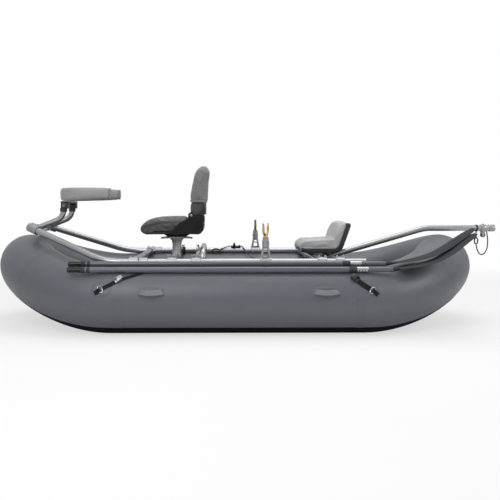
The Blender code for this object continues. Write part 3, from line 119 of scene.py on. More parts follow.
def makeStage():
    # A pale floor that turns into the white background further away
    bpy.ops.mesh.primitive_plane_add(size=studio["floorSize"], location=(0, 0, studio["floorZ"]))
    floor = bpy.context.object
    floor.name = "studioFloor"
    made = bpy.data.materials.new("paleFloor")
    made.use_nodes = True
    tree = made.node_tree
    shader, out = tree.nodes["Principled BSDF"], tree.nodes["Material Output"]
    shader.inputs["Base Color"].default_value = (*studio["floorColour"], 1)
    shader.inputs["Roughness"].default_value = studio["floorRoughness"]
    place, path, glow = (addNode(tree, "ShaderNode" + kind) for kind in ("TexCoord", "LightPath", "Emission"))
    reach = addNode(tree, "ShaderNodeVectorMath", {0: place.outputs["Object"]}, operation="LENGTH")
    far = addNode(tree, "ShaderNodeMapRange", {
        "Value": reach.outputs["Value"], "From Min": studio["glowFrom"], "From Max": studio["glowFull"],
        "To Min": studio["floorGlow"], "To Max": 1.0})
    share = mathNode(tree, "MULTIPLY", far.outputs["Result"], path.outputs["Is Camera Ray"])
    mix = addNode(tree, "ShaderNodeMixShader", {0: share, 1: shader.outputs[0], 2: glow.outputs[0]})
    tree.links.new(mix.outputs[0], out.inputs["Surface"])
    floor.data.materials.append(made)
    for name, place, target, size, power in studio["lamps"]:
        lamp = bpy.data.lights.new(name, "AREA")
        lamp.size, lamp.energy = size, power
        holder = addObject(name, lamp)
        holder.location = place
        holder.rotation_euler = (Vector(target) - Vector(place)).to_track_quat("-Z", "Y").to_euler()


# Shader groups that several finishes share: a vector and plain values in, one value out

def mathNode(tree, operation, *values):
    return addNode(tree, "ShaderNodeMath", dict(enumerate(values)), operation=operation).outputs[0]


def noiseNode(tree, vector, scale, detail=3.0, roughness=0.55):
    return addNode(tree, "ShaderNodeTexNoise", {"Vector": vector, "Scale": scale, "Detail": detail,
                                                "Roughness": roughness}).outputs["Fac"]


def blended(tree, first, share, second, rest):
    return mathNode(tree, "ADD", mathNode(tree, "MULTIPLY", first, share),
                    mathNode(tree, "MULTIPLY", second, rest))


def mottle(tree, vector, scale):
    # Slow and quick unevenness together, about a half
    slow = noiseNode(tree, vector, scale, 4.0)
    quickly = noiseNode(tree, vector, mathNode(tree, "MULTIPLY", scale, 9.0))
    return blended(tree, slow, 0.65, quickly, 0.35)


def weave(tree, vector, threads):
    # Crossing threads on any face: products of sines along the three axes
    split = addNode(tree, "ShaderNodeSeparateXYZ", {0: vector})
    turns = mathNode(tree, "MULTIPLY", threads, math.pi)
    waves = [mathNode(tree, "SINE", mathNode(tree, "MULTIPLY", split.outputs[axis], turns)) for axis in "XYZ"]
    pairs = [mathNode(tree, "MULTIPLY", waves[a], waves[b]) for a, b in ((0, 1), (1, 2), (2, 0))]
    total = mathNode(tree, "ADD", mathNode(tree, "ADD", pairs[0], pairs[1]), pairs[2])
    return mathNode(tree, "MULTIPLY_ADD", total, 0.3, 0.5)


def grain(tree, vector, scale):
    # Pebbled hide or moulded grain: rounded cells with a finer dust
    cells = addNode(tree, "ShaderNodeTexVoronoi", {"Vector": vector, "Scale": scale}, feature="SMOOTH_F1")
    fine = noiseNode(tree, vector, mathNode(tree, "MULTIPLY", scale, 2.2), 2.0)
    return blended(tree, cells.outputs["Distance"], 0.75, fine, 0.25)


def drawn(tree, vector, fineness):
    # Fine lines left by drawing or brushing, along the vector's first axis
    scaled = addNode(tree, "ShaderNodeMapping", {"Vector": vector, "Scale": (0.012, 1.0, 1.0)})
    return noiseNode(tree, scaled.outputs[0], fineness)


def scuffs(tree, vector, scale, amount):
    # Sparse marks where handling has dulled or lightened the surface
    first = noiseNode(tree, vector, scale, 6.0, 0.7)
    second = noiseNode(tree, vector, mathNode(tree, "MULTIPLY", scale, 5.0), 5.0, 0.7)
    over = mathNode(tree, "SUBTRACT", mathNode(tree, "MULTIPLY", first, second), 0.27)
    mask = mathNode(tree, "MULTIPLY", over, mathNode(tree, "MULTIPLY", amount, 9.0))
    return addNode(tree, "ShaderNodeClamp", {"Value": mask}).outputs[0]


def newGroup(name, output, body, **inputs):
    tree = bpy.data.node_groups.new(name, "ShaderNodeTree")
    tree.interface.new_socket("Vector", in_out="INPUT", socket_type="NodeSocketVector")
    for label, value in inputs.items():
        tree.interface.new_socket(label, in_out="INPUT", socket_type="NodeSocketFloat").default_value = value
    tree.interface.new_socket(output, in_out="OUTPUT", socket_type="NodeSocketFloat")
    given = tree.nodes.new("NodeGroupInput").outputs
    addNode(tree, "NodeGroupOutput", {output: body(tree, *(given[label] for label in ("Vector", *inputs)))})
    return tree


groups = {
    "mottle": newGroup("mottle", "Value", mottle, Scale=6.0),
    "weave": newGroup("weave", "Height", weave, Threads=900.0),
    "grain": newGroup("grain", "Height", grain, Scale=500.0),
    "drawn": newGroup("drawnLines", "Height", drawn, Fineness=700.0),
    "scuffs": newGroup("scuffs", "Mask", scuffs, Scale=14.0, Amount=0.4),
}
reliefInput = {"weave": "Threads", "grain": "Scale", "drawn": "Fineness"}
finishes = {}


def newFinish(name, colour, roughness, metallic=0.0, tint=0.1, mottle=5.0, spread=0.1, relief="grain",
              fineness=500.0, depth=0.0003, space="Object", scuff=0.15, scuffColour=None, coat=0.0, sheen=0.0,
              specular=0.5):
    # The colour varies by tint and the roughness by spread; relief is a group, with its fineness and depth
    made = finishes[name] = bpy.data.materials.new(name)
    made.use_nodes = True
    tree = made.node_tree
    vector = addNode(tree, "ShaderNodeTexCoord").outputs[space]
    group = lambda kind, **values: addNode(tree, "ShaderNodeGroup", {"Vector": vector, **values},
                                           node_tree=groups[kind]).outputs[0]
    uneven, marks = group("mottle", Scale=mottle), group("scuffs", Amount=scuff)
    mixed = addNode(tree, "ShaderNodeMix", {
        "Factor": uneven, "A": (*[c * (1 - tint) for c in colour], 1),
        "B": (*[min(c * (1 + tint), 1.0) for c in colour], 1)}, data_type="RGBA")
    worn = addNode(tree, "ShaderNodeMix", {
        "Factor": marks, "A": mixed.outputs["Result"],
        "B": (*(scuffColour or [min(c * 1.35 + 0.02, 1.0) for c in colour]), 1)}, data_type="RGBA")
    dull = addNode(tree, "ShaderNodeMapRange", {"Value": uneven, "To Min": max(roughness - spread, 0.04),
                                                "To Max": min(roughness + spread, 1.0)})
    bump = addNode(tree, "ShaderNodeBump", {
        "Distance": depth, "Strength": 1.0, "Height": group(relief, **{reliefInput[relief]: fineness})})
    shader = tree.nodes["Principled BSDF"].inputs
    for label, value in (("Metallic", metallic), ("Coat Weight", coat), ("Sheen Weight", sheen),
                         ("Specular IOR Level", specular)):
        shader[label].default_value = value
    for label, socket in (("Base Color", worn.outputs["Result"]), ("Roughness", dull.outputs["Result"]),
                          ("Normal", bump.outputs["Normal"])):
        tree.links.new(socket, shader[label])


scene.view_settings.view_transform = "Standard"
makeCamera()
makeWorld()
makeStage()
print("camera, lamps and floor made")

newFinish("hullSkin", (0.108, 0.114, 0.134), 0.39, tint=0.05, mottle=2.2, spread=0.05, relief="weave",
          fineness=700.0, depth=0.00012, space="UV", scuff=0.12)
# A near-black band round the tube's underside, with little reflection
newFinish("rubStrip", (0.007, 0.007, 0.008), 0.8, tint=0.15, relief="weave", fineness=420.0, space="UV",
          scuff=0.2, scuffColour=(0.02, 0.02, 0.021), specular=0.08)
newFinish("seamTape", (0.103, 0.109, 0.128), 0.37, tint=0.05, relief="weave", fineness=700.0, depth=0.00012)
newFinish("floorSkin", (0.1, 0.103, 0.112), 0.55, tint=0.07, relief="weave", depth=0.0002, scuff=0.3)
newFinish("treadPad", (0.045, 0.046, 0.05), 0.75, relief="weave", fineness=130.0, depth=0.0012, scuff=0.5)
newFinish("pipeAlloy", (0.4, 0.403, 0.415), 0.24, metallic=0.8, tint=0.03, mottle=8.0, spread=0.05,
          relief="drawn", fineness=900.0, depth=0.00002, space="UV", scuff=0.1, scuffColour=(0.34, 0.34, 0.35))
newFinish("castAlloy", (0.36, 0.36, 0.37), 0.36, metallic=0.85, tint=0.22, mottle=34.0, spread=0.14,
          fineness=900.0, depth=0.00015, scuff=0.5, scuffColour=(0.2, 0.2, 0.205))
newFinish("galvanised", (0.7, 0.7, 0.7), 0.42, metallic=0.35, tint=0.4, mottle=30.0, spread=0.2,
          fineness=240.0, depth=0.0002, scuff=0.7, scuffColour=(0.75, 0.75, 0.75))
newFinish("boltSteel", (0.44, 0.44, 0.45), 0.25, metallic=1.0, tint=0.08, mottle=40.0, relief="drawn",
          fineness=1500.0, depth=0.00004, scuff=0.4, scuffColour=(0.4, 0.4, 0.4))
newFinish("bronze", (0.52, 0.4, 0.13), 0.33, metallic=1.0, tint=0.3, mottle=50.0, spread=0.14,
          fineness=700.0, depth=0.0002, scuff=0.5, scuffColour=(0.22, 0.16, 0.06))
# A darker copy of the bronze whose colour is painted shade, for the oarlock that stands in shade
newFinish("darkBronze", (0.2, 0.19, 0.16), 0.36, metallic=1.0, tint=0.3, mottle=50.0, spread=0.14,
          fineness=700.0, depth=0.0002, scuff=0.5, scuffColour=(0.4, 0.39, 0.36))
newFinish("bushing", (0.36, 0.27, 0.31), 0.45, fineness=900.0, depth=0.0001)
newFinish("blackPlastic", (0.016, 0.016, 0.017), 0.36, tint=0.2, fineness=1100.0, depth=0.00015, scuff=0.3,
          scuffColour=(0.05, 0.05, 0.05))
newFinish("glossBlack", (0.003, 0.003, 0.0034), 0.2, tint=0.2, spread=0.06, fineness=600.0, depth=0.00008,
          coat=0.1, scuff=0.2, scuffColour=(0.02, 0.02, 0.02), specular=0.3)
newFinish("rubber", (0.02, 0.02, 0.022), 0.7, tint=0.15, fineness=700.0, scuff=0.4,
          scuffColour=(0.06, 0.06, 0.06))
newFinish("oarShaft", (0.085, 0.09, 0.115), 0.3, tint=0.08, spread=0.08, relief="weave", fineness=520.0,
          depth=0.00006, space="UV", coat=0.3, scuff=0.2)
newFinish("oarBlade", (0.02, 0.021, 0.026), 0.58, fineness=420.0, depth=0.00015, scuff=0.25,
          scuffColour=(0.05, 0.05, 0.056), specular=0.18)
newFinish("charcoalVinyl", (0.062, 0.062, 0.063), 0.44, tint=0.12, mottle=7.0, spread=0.09, fineness=430.0,
          depth=0.0005, scuff=0.22, sheen=0.15)
newFinish("backFabric", (0.07, 0.07, 0.072), 0.8, tint=0.14, relief="weave", fineness=620.0, depth=0.0006,
          scuff=0.2, sheen=0.35)
newFinish("coverFabric", (0.195, 0.195, 0.2), 0.86, mottle=9.0, relief="weave", fineness=560.0, depth=0.0007,
          scuff=0.25, sheen=0.4)
newFinish("padVinyl", (0.3, 0.303, 0.308), 0.62, tint=0.07, mottle=6.0, fineness=520.0, depth=0.0004,
          sheen=0.2)
newFinish("padMesh", (0.24, 0.24, 0.243), 0.8, tint=0.25, mottle=30.0, relief="weave", fineness=210.0,
          depth=0.0014, scuff=0.1, sheen=0.3)
newFinish("rowerVinyl", (0.43, 0.432, 0.436), 0.52, tint=0.05, spread=0.08, fineness=380.0, depth=0.0005,
          scuff=0.2, scuffColour=(0.36, 0.36, 0.36), sheen=0.1)
newFinish("webbing", (0.008, 0.008, 0.009), 0.8, tint=0.2, relief="weave", fineness=330.0, depth=0.0008,
          space="UV", scuff=0.2, scuffColour=(0.03, 0.03, 0.031), sheen=0.05, specular=0.2)
newFinish("handleGrey", (0.19, 0.19, 0.215), 0.5, tint=0.08, relief="weave", fineness=420.0, depth=0.0005,
          scuff=0.25)
newFinish("thread", (0.3, 0.3, 0.3), 0.7, tint=0.15, relief="weave", fineness=1500.0, sheen=0.3)
newFinish("darkThread", (0.014, 0.014, 0.015), 0.7, tint=0.15, relief="weave", fineness=1500.0, sheen=0.3)
newFinish("rope", (0.02, 0.02, 0.022), 0.78, tint=0.3, relief="weave", fineness=420.0, depth=0.0016,
          space="UV", scuff=0.3, scuffColour=(0.09, 0.09, 0.09), sheen=0.2)
print("finishes made:", len(finishes))


# Tools that make meshes

def circle(count, offset=0.0):
    # The cosine and sine of each step round a circle
    return [(math.cos(a), math.sin(a)) for a in (2 * math.pi * (k + offset) / count for k in range(count))]


def power(value, exponent):
    return math.copysign(abs(value) ** exponent, value)


def mm(*values):
    # Pairs of metres from a row of millimetres
    return [(a / 1000, b / 1000) for a, b in zip(values[::2], values[1::2])]


def smoothObject(name, mesh, sharp):
    mesh.shade_smooth()
    mesh.set_sharp_from_angle(angle=math.radians(sharp))
    return addObject(name, mesh)


def reshaped(made, change):
    # The same object after a change to its bmesh
    bm = bmesh.new()
    bm.from_mesh(made.data)
    change(bm)
    bm.to_mesh(made.data)
    bm.free()
    return made


def outward(bm):
    bmesh.ops.recalc_face_normals(bm, faces=bm.faces)


def roundEdges(bm, edges, width, segments):
    bmesh.ops.bevel(bm, geom=edges, offset=width, segments=segments, profile=0.5, affect="EDGES",
                    clamp_overlap=True)


def skin(name, rings, loop=False, sharp=35.0):
    # A surface over rings of points, closed at its ends or in a loop; its UVs are lengths along and around
    rings = np.array(rings, float)
    count, around = rings.shape[:2]
    middles, widest = rings.mean(1), rings[count // 2]
    alongStep = np.linalg.norm(np.diff(middles, axis=0, append=middles[:1]), axis=1)
    aroundStep = np.linalg.norm(np.roll(widest, -1, 0) - widest, axis=1)
    alongAt, aroundAt = (np.concatenate(([0], np.cumsum(step))) for step in (alongStep, aroundStep))
    faces, uvs = [], []
    for i in range(count if loop else count - 1):
        low, high = i * around, (i + 1) % count * around
        for j in range(around):
            k = (j + 1) % around
            faces.append((low + j, low + k, high + k, high + j))
            uvs += [(alongAt[a], aroundAt[b]) for a, b in ((i, j), (i, j + 1), (i + 1, j + 1), (i + 1, j))]
    if not loop:
        last = (count - 1) * around
        faces += [list(range(around))[::-1], list(range(last, last + around))]
        uvs += [(0, at) for at in aroundAt[:-1]] * 2
    mesh = bpy.data.meshes.new(name)
    mesh.from_pydata(rings.reshape(-1, 3).tolist(), [], faces)
    mesh.uv_layers.new(name="length").data.foreach_set("uv", np.array(uvs, np.float32).ravel())
    mesh.validate()
    return reshaped(smoothObject(name, mesh, sharp), outward)


def headingAt(path, i):
    return (path[min(i + 1, len(path) - 1)] - path[max(i - 1, 0)]).normalized()


def framesAlong(path, loop=False, firstUp=up):
    # A frame at each point that turns as little as it can
    path = [Vector(p) for p in path]
    count = len(path)
    frames, side = [], None
    for i, at in enumerate(path):
        heading = headingAt(path, i) if not loop else (path[(i + 1) % count] - path[i - 1]).normalized()
        if side is None:
            side = heading.cross(firstUp)
            side = side if side.length > 0.01 else heading.cross(starboard)
        side = (side - heading * side.dot(heading)).normalized()
        frames.append((at, side, side.cross(heading)))
    return frames


def sweep(name, path, radius, sides=24, radii=None, loop=False, wide=1.0, firstUp=up):
    rings = [[at + side * (size * wide * c) + above * (size * s) for c, s in circle(sides)]
             for (at, side, above), size in zip(framesAlong(path, loop, firstUp), radii or [radius] * len(path))]
    return skin(name, rings, loop)


def turned(name, stations, heading, sides, loop=False, sharp=35.0):
    # Round sections about one axis, each with its centre and radius
    side = heading.orthogonal().normalized()
    above = heading.cross(side)
    rings = [[at + side * (size * c) + above * (size * s) for c, s in circle(sides)] for at, size in stations]
    return skin(name, rings, loop, sharp)


def bar(name, start, end, radius, sides=32, chamfer=0.0015, bore=0.0):
    # A round bar or sleeve with broken edges, hollow if it has a bore
    start, end = Vector(start), Vector(end)
    heading = (end - start).normalized()
    inset = heading * chamfer
    stations = [(start, radius - chamfer), (start + inset, radius), (end - inset, radius),
                (end, radius - chamfer)]
    if bore:
        stations += [(end, bore), (start, bore)]
    return turned(name, stations, heading, sides, bool(bore), 30.0)


def lathe(name, profile, centre=(0, 0, 0), sides=40, axis=up, sharp=35.0):
    # A profile of radius and distance along the axis
    thinnest = 0.00002
    axis, centre = Vector(axis), Vector(centre)
    stations = [(centre + axis * height, max(size, thinnest)) for size, height in profile]
    return turned(name, stations, axis, sides, sharp=sharp)


def fromBm(name, bm, sharp=35.0):
    mesh = bpy.data.meshes.new(name)
    bm.to_mesh(mesh)
    bm.free()
    return smoothObject(name, mesh, sharp)


def plate(name, outline, low, high, axis="Y", bevel=0.0012, segments=2):
    # A flat outline given thickness along an axis, with its edges rounded
    order = {"X": (2, 0, 1), "Y": (0, 2, 1), "Z": (0, 1, 2)}[axis]
    spot = lambda *values: [values[k] for k in order]
    bm = bmesh.new()
    face = bm.faces.new([bm.verts.new(spot(a, b, low)) for a, b in outline])
    grown = bmesh.ops.extrude_face_region(bm, geom=[face])["geom"]
    lifted = [v for v in grown if isinstance(v, bmesh.types.BMVert)]
    bmesh.ops.translate(bm, vec=spot(0, 0, high - low), verts=lifted)
    outward(bm)
    if bevel:
        roundEdges(bm, [e for e in bm.edges if e.calc_face_angle(0) > math.radians(30)], bevel, segments)
    return fromBm(name, bm, 40.0)


def block(name, low, high, bevel=0.002, segments=2):
    (x0, y0, z0), (x1, y1, z1) = low, high
    return plate(name, [(x0, z0), (x1, z0), (x1, z1), (x0, z1)], y0, y1, "Y", bevel, segments)


def nodeCopy(node, name, bevel):
    # A CAD node's shape as one merged mesh, with its flats joined again
    bm = bmesh.new()
    bm.from_mesh(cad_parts[node].data)
    bmesh.ops.remove_doubles(bm, verts=bm.verts, dist=0.00002)
    bmesh.ops.dissolve_limit(bm, angle_limit=math.radians(1.0), verts=bm.verts, edges=bm.edges)
    edges = [e for e in bm.edges if len(e.link_faces) == 2 and e.calc_face_angle(0) > math.radians(40)]
    roundEdges(bm, edges, bevel, 2)
    return fromBm(name, bm)


def ribbon(name, path, normals, width, thick):
    # A strap: flat section with soft edges, lying on its normals
    section = [(0.5, 0.15), (0.47, 0.0), (0.0, 0.0), (-0.47, 0.0), (-0.5, 0.15), (-0.5, 0.85), (-0.47, 1.0),
               (-0.25, 1.0), (0.0, 1.0), (0.25, 1.0), (0.47, 1.0), (0.5, 0.85)]
    path = [Vector(p) for p in path]
    rings = []
    for i, at in enumerate(path):
        heading = headingAt(path, i)
        normal = (normals[i] - heading * normals[i].dot(heading)).normalized()
        across = heading.cross(normal).normalized()
        rings.append([at + across * (width * a) + normal * (thick * b) for a, b in section])
    return skin(name, rings, sharp=50.0)


def joined(name, pieces):
    with bpy.context.temp_override(active_object=pieces[0], object=pieces[0], selected_objects=pieces,
                                   selected_editable_objects=pieces):
        bpy.ops.object.join()
    pieces[0].name = pieces[0].data.name = name
    return pieces[0]


def paint(piece, finish):
    piece.data.materials.clear()
    piece.data.materials.append(finishes[finish])
    return piece


def place(piece, finish=None, body="raft", stands=(), slot=None, name=None):
    # A finished piece, or several to be joined under a name, on its body and in place of its CAD nodes
    if isinstance(piece, list):
        piece = joined(name, piece)
    piece.name = name or piece.name
    if finish:
        paint(piece, finish)
    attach(piece, body)
    if stands:
        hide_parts(*([stands] if isinstance(stands, str) else stands))
    return piece


def arc(centre, radius, start, end, steps):
    angles = [math.radians(start + (end - start) * k / steps) for k in range(steps + 1)]
    return [(centre[0] + radius * math.cos(a), centre[1] + radius * math.sin(a)) for a in angles]


def bentPath(corners, bendRadius, steps=12):
    # Straight runs joined by arcs of one bend radius
    corners = [Vector(corner) for corner in corners]
    path = [corners[0]]
    for before, corner, after in zip(corners, corners[1:], corners[2:]):
        arriving, leaving = (before - corner).normalized(), (after - corner).normalized()
        half = arriving.angle(leaving) / 2
        reach = bendRadius / math.tan(half)
        centre = corner + (arriving + leaving).normalized() * bendRadius / math.sin(half)
        first, last = ((corner + run * reach - centre).normalized() for run in (arriving, leaving))
        path += [centre + first.slerp(last, k / steps) * bendRadius for k in range(steps + 1)]
    return path + [corners[-1]]


def smoothPath(points, steps=6):
    # A smooth curve through the points of a cord, strap or seam
    places = [Vector(p) for p in points]
    places = [2 * places[0] - places[1]] + places + [2 * places[-1] - places[-2]]
    path = []
    for a, b, c, d in zip(places, places[1:], places[2:], places[3:]):
        for t in (k / steps for k in range(steps)):
            path.append(0.5 * (2 * b + (c - a) * t + (2 * a - 5 * b + 4 * c - d) * t * t
                               + (3 * b - a - 3 * c + d) * t ** 3))
    return path + [places[-2]]


def flatPath(points, steps=4):
    # The same in the plane across the boat: pairs of X and Z
    return [(p.x, p.z) for p in smoothPath([(x, 0, z) for x, z in points], steps)]


def evenPath(path, step, loop=False):
    # The same line with points at even steps
    points = np.array([tuple(p) for p in path] + ([tuple(path[0])] if loop else []), float)
    run = np.concatenate(([0], np.cumsum(np.linalg.norm(np.diff(points, axis=0), axis=1))))
    at = np.linspace(0, run[-1], max(int(round(run[-1] / step)), 2) + 1)[:-1 if loop else None]
    return [Vector([np.interp(s, run, points[:, axis]) for axis in range(3)]) for s in at]


def repeatTree():
    # One tree that sets a small shape on every point of a guide, turned to the point's own directions
    tree = bpy.data.node_groups.new("repeatOnPoints", "GeometryNodeTree")
    for label, kind in (("Points", "Geometry"), ("Shape", "Object"), ("Size", "Float"), ("Finish", "Material")):
        tree.interface.new_socket(label, in_out="INPUT", socket_type="NodeSocket" + kind)
    tree.interface.new_socket("Geometry", in_out="OUTPUT", socket_type="NodeSocketGeometry")
    given = tree.nodes.new("NodeGroupInput").outputs
    shape = addNode(tree, "GeometryNodeObjectInfo", {"Object": given["Shape"]})
    facing, heading = (addNode(tree, "GeometryNodeInputNamedAttribute", {"Name": label}, data_type="FLOAT_VECTOR")
                       for label in ("facing", "heading"))
    stand = addNode(tree, "FunctionNodeAlignRotationToVector", {"Vector": facing.outputs["Attribute"]}, axis="Z")
    turn = addNode(tree, "FunctionNodeAlignRotationToVector", {
        "Rotation": stand.outputs["Rotation"], "Vector": heading.outputs["Attribute"]}, axis="X", pivot_axis="Z")
    spread = addNode(tree, "GeometryNodeInstanceOnPoints", {
        "Points": given["Points"], "Instance": shape.outputs["Geometry"], "Rotation": turn.outputs["Rotation"],
        "Scale": given["Size"]})
    real = addNode(tree, "GeometryNodeRealizeInstances", {"Geometry": spread.outputs["Instances"]})
    finish = addNode(tree, "GeometryNodeSetMaterial", {"Geometry": real.outputs["Geometry"],
                                                       "Material": given["Finish"]})
    addNode(tree, "NodeGroupOutput", {"Geometry": finish.outputs["Geometry"]})
    return tree


repeater, templates = repeatTree(), []


def repeated(name, shape, points, finish, size=1.0):
    # Each point holds a place, the way up from the surface, and the way along it
    mesh = bpy.data.meshes.new(name + "Guide")
    mesh.from_pydata([tuple(p[0]) for p in points], [], [])
    for column, label in enumerate(("facing", "heading"), 1):
        layer = mesh.attributes.new(label, "FLOAT_VECTOR", "POINT")
        layer.data.foreach_set("vector", [c for p in points for c in p[column]])
    guide = addObject(name + "Guide", mesh)
    step = guide.modifiers.new("repeat", "NODES")
    step.node_group = repeater
    given = {"Shape": shape, "Size": size, "Finish": finishes[finish]}
    for item in repeater.interface.items_tree:
        if item.in_out == "INPUT" and item.name in given:
            step[item.identifier] = given[item.name]
    ready = guide.evaluated_get(bpy.context.evaluated_depsgraph_get())
    mesh = bpy.data.meshes.new_from_object(ready)
    mesh.name = name
    bpy.data.objects.remove(guide)
    return addObject(name, mesh)


def template(piece):
    piece.hide_render = True
    templates.append(piece)
    return piece


# A hex head on its washer, both standing on the surface, and a short thread that dips at both ends
bolt = template(joined("boltShape", [
    lathe("washerShape", mm(0, 0, 7.5, 0, 7.5, 1.2, 0, 1.2), sides=20),
    lathe("headShape", mm(0, 1.2, 5.6, 1.2, 5.6, 5.2, 4.6, 6, 0, 6), sides=6, sharp=20.0),
    lathe("studShape", mm(0, 6, 3, 6, 3, 9, 2.4, 9.6, 0, 9.6), sides=12)]))
stitch = template(sweep("stitchShape", [(x, 0, z) for x, z in mm(-2.2, -0.2, -1.4, 0.4, 0, 0.6, 1.4, 0.4,
                                                                 2.2, -0.2)], 0.00045, 6))


def bolted(name, spots, size=1.0, finish="boltSteel", body="raft", slot="steel"):
    # A bolt at each place, with the way it faces and the way its flats run
    return place(repeated(name, bolt, spots, finish, size), body=body, slot=slot)


def stitched(name, path, normals, finish, step):
    even = evenPath(path, step)
    source = np.array([tuple(p) for p in path])
    nearest = [int(np.argmin(np.linalg.norm(source - np.array(at), axis=1))) for at in even]
    points = [(at, normals[nearest[i]], headingAt(even, i)) for i, at in enumerate(even)]
    return repeated(name, stitch, points, finish)


def around(x, z, *values):
    # The same pairs of millimetres, about a place
    return [(x + a, z + b) for a, b in mm(*values)]


# Anchor line: the rope aft from its cleat, the short pull forward of it, and the tail on the stern arm
anchorLine = {
    "radius": 0.004, "step": 0.006, "cleat": (-0.08, 0.515, 0.4526), "lineZ": 0.4652, "jawX": -0.092,
    "jawR": 0.0105, "jawY": 0.0132, "leadX": -0.0525, "ring": (-0.233, 0.4892, 0.4293), "ringHalf": (0.03, 0.017),
    "wire": 0.0045, "coil": 0.0042, "coilWire": 0.0022, "snapX": 1.572, "snapZ": 0.533, "snapHalf": (0.011, 0.02),
    "eye": 0.0075, "armZ": 0.621, "armR": 0.02,
    "aft": ((-0.0422, 0.515, 0.4652), (-0.026, 0.503, 0.458), (-0.002, 0.455, 0.424), (0.022, 0.41, 0.4),
            (0.045, 0.365, 0.385), (0.09, 0.31, 0.375), (0.16, 0.262, 0.374), (0.25, 0.215, 0.379),
            (0.34, 0.17, 0.391), (0.418, 0.13, 0.406), (0.475, 0.1, 0.405), (0.528, 0.075, 0.406),
            (0.57, 0.052, 0.412), (0.6, 0.035, 0.426)),
    "pull": ((-0.1178, 0.515, 0.4652), (-0.128, 0.513, 0.4647), (-0.143, 0.508, 0.4612), (-0.16, 0.502, 0.4577),
             (-0.178, 0.4925, 0.45), (-0.191, 0.4892, 0.444), (-0.2006, 0.4892, 0.4378)),
    "tail": ((1.645, 0, 0.6004), (1.649, 0, 0.57), (1.653, 0, 0.538), (1.652, 0, 0.5), (1.645, 0, 0.468),
             (1.631, 0, 0.446), (1.612, 0, 0.437), (1.595, 0, 0.445), (1.584, 0, 0.463), (1.577, 0, 0.485),
             (1.572, 0, 0.5097)),
    "aftLength": 0.8525, "pullLength": 0.093, "tailLength": 0.2703,
}


def ropePiece(name, node, run, withPieces=()):
    points, radius = anchorLine[run], anchorLine["radius"]
    path = evenPath(smoothPath(points), anchorLine["step"])
    made = place(sweep(name, path, radius, 14), "rope", stands=node, slot="rope")


def pullRing():
    # A long moulded ring with a thicker grip below, and the knot that ties it on
    (x, y, z), (long, tall), wire = anchorLine["ring"], anchorLine["ringHalf"], anchorLine["wire"]
    ring = sweep("pullRing", [(x + long * c, y, z + tall * s) for c, s in circle(48)], wire, 16,
                 [wire * (0.93 - 0.07 * s) for _, s in circle(48)], loop=True, firstUp=starboard)
    end, before = (Vector(p) for p in anchorLine["pull"][:-3:-1])
    away = (before - end).normalized()
    side = away.orthogonal().normalized()
    above = away.cross(side)
    coils = [sweep("coil", [end + away * (0.004 + 0.0045 * turn) + (side * c + above * s) * anchorLine["coil"]
                            for c, s in circle(16)], anchorLine["coilWire"], 8, loop=True, firstUp=away)
             for turn in range(3)]
    knot = place(coils, "rope", slot="rope", name="pullKnot")
    return place(ring, "blackPlastic", stands="pull_ring", slot="black_plastic"), knot


def lineCleat():
    # A cam cleat: base, two toothed jaws under a bridge, and a lead ring
    (x, y, z), jawX, lineZ = anchorLine["cleat"], anchorLine["jawX"], anchorLine["lineZ"]
    base = around(x, y, -37.5, -7, -31, -12.8, 31, -12.8, 37.5, -7, 37.5, 7, 31, 12.8, -31, 12.8, -37.5, 7)
    pieces = [plate("base", base, z, z + 0.008, "Z", 0.002)]
    for jawY in (y - anchorLine["jawY"], y + anchorLine["jawY"]):
        sizes = [anchorLine["jawR"] * (1 if k % 2 else 0.92) for k in range(48)]
        teeth = [(jawX + size * c, jawY + size * s) for size, (c, s) in zip(sizes, circle(48))]
        pieces.append(plate("jaw", teeth, z + 0.0085, z + 0.021, "Z", 0.0))
    bridge = around(y, z, -17.6, 21, -17.6, 30, -12, 36, 12, 36, 17.6, 30, 17.6, 21)
    pieces.append(plate("bridge", bridge, jawX - 0.008, jawX + 0.008, "X", 0.0025, 3))
    lead = mm(5.2, 4.5, 6.8, 6, 8.8, 4, 9.5, 0, 8.8, -4, 6.8, -6, 5.2, -4.5, 4.8, 0, 5.2, 4.5)
    pieces.append(lathe("lead", lead, (anchorLine["leadX"], y, lineZ), 28, aft))
    place(pieces, "blackPlastic", stands="line_cleat", slot="black_plastic", name="lineCleat")
    held = sweep("heldLine", [(x - 0.0372, y, lineZ), (x + 0.0372, y, lineZ)], anchorLine["radius"] - 0.0003, 14)
    place(held, "rope", slot="rope")
    spots = ((x - 0.031, z + 0.008), (x + 0.0085, z + 0.008), (jawX, z + 0.036))
    bolted("cleatScrews", [(Vector((a, y, b)), up, aft) for a, b in spots], 0.6)


def anchorSnap():
    # A band on the arm, its eye, and a long snap whose gate lies along one side
    x, z, armZ, armR, eye = (anchorLine[key] for key in ("snapX", "snapZ", "armZ", "armR", "eye"))
    (wide, tall), wire = anchorLine["snapHalf"], anchorLine["wire"]
    hook = [(x + wide * c, 0, z + math.copysign(tall - wide, s) + wide * s) for c, s in circle(28, 0.5)]
    pieces = [
        bar("band", (x - 0.006, 0, armZ), (x + 0.006, 0, armZ), armR + 0.004, 36, 0.001, armR + 0.0002),
        sweep("eye", [(x, eye * c, armZ - armR - 0.009 + eye * s) for c, s in circle(24)], 0.0024, 10, loop=True,
              firstUp=aft),
        lathe("shank", mm(0, 26, 3, 25, 3.4, 12, 5.2, 9, 5.2, 2, 3.4, 0, 3, -2, 0, -2), (x, 0, z + tall), 20),
        sweep("loop", hook, wire, 12, loop=True, firstUp=starboard),
        bar("gate", (x + wide, 0, z - 0.006), (x + wide, 0, z + 0.008), wire + 0.0007, 16, 0.0005)]
    place(pieces, "blackPlastic", stands="anchor_snap", slot="steel", name="anchorSnap")


ropePiece("anchorLine", "anchor_line", "aft")
ropePiece("lineTail", "anchor_drop", "tail")
ropePiece("linePull", "line_pull", "pull", pullRing())
lineCleat()
anchorSnap()
print("anchor line made")
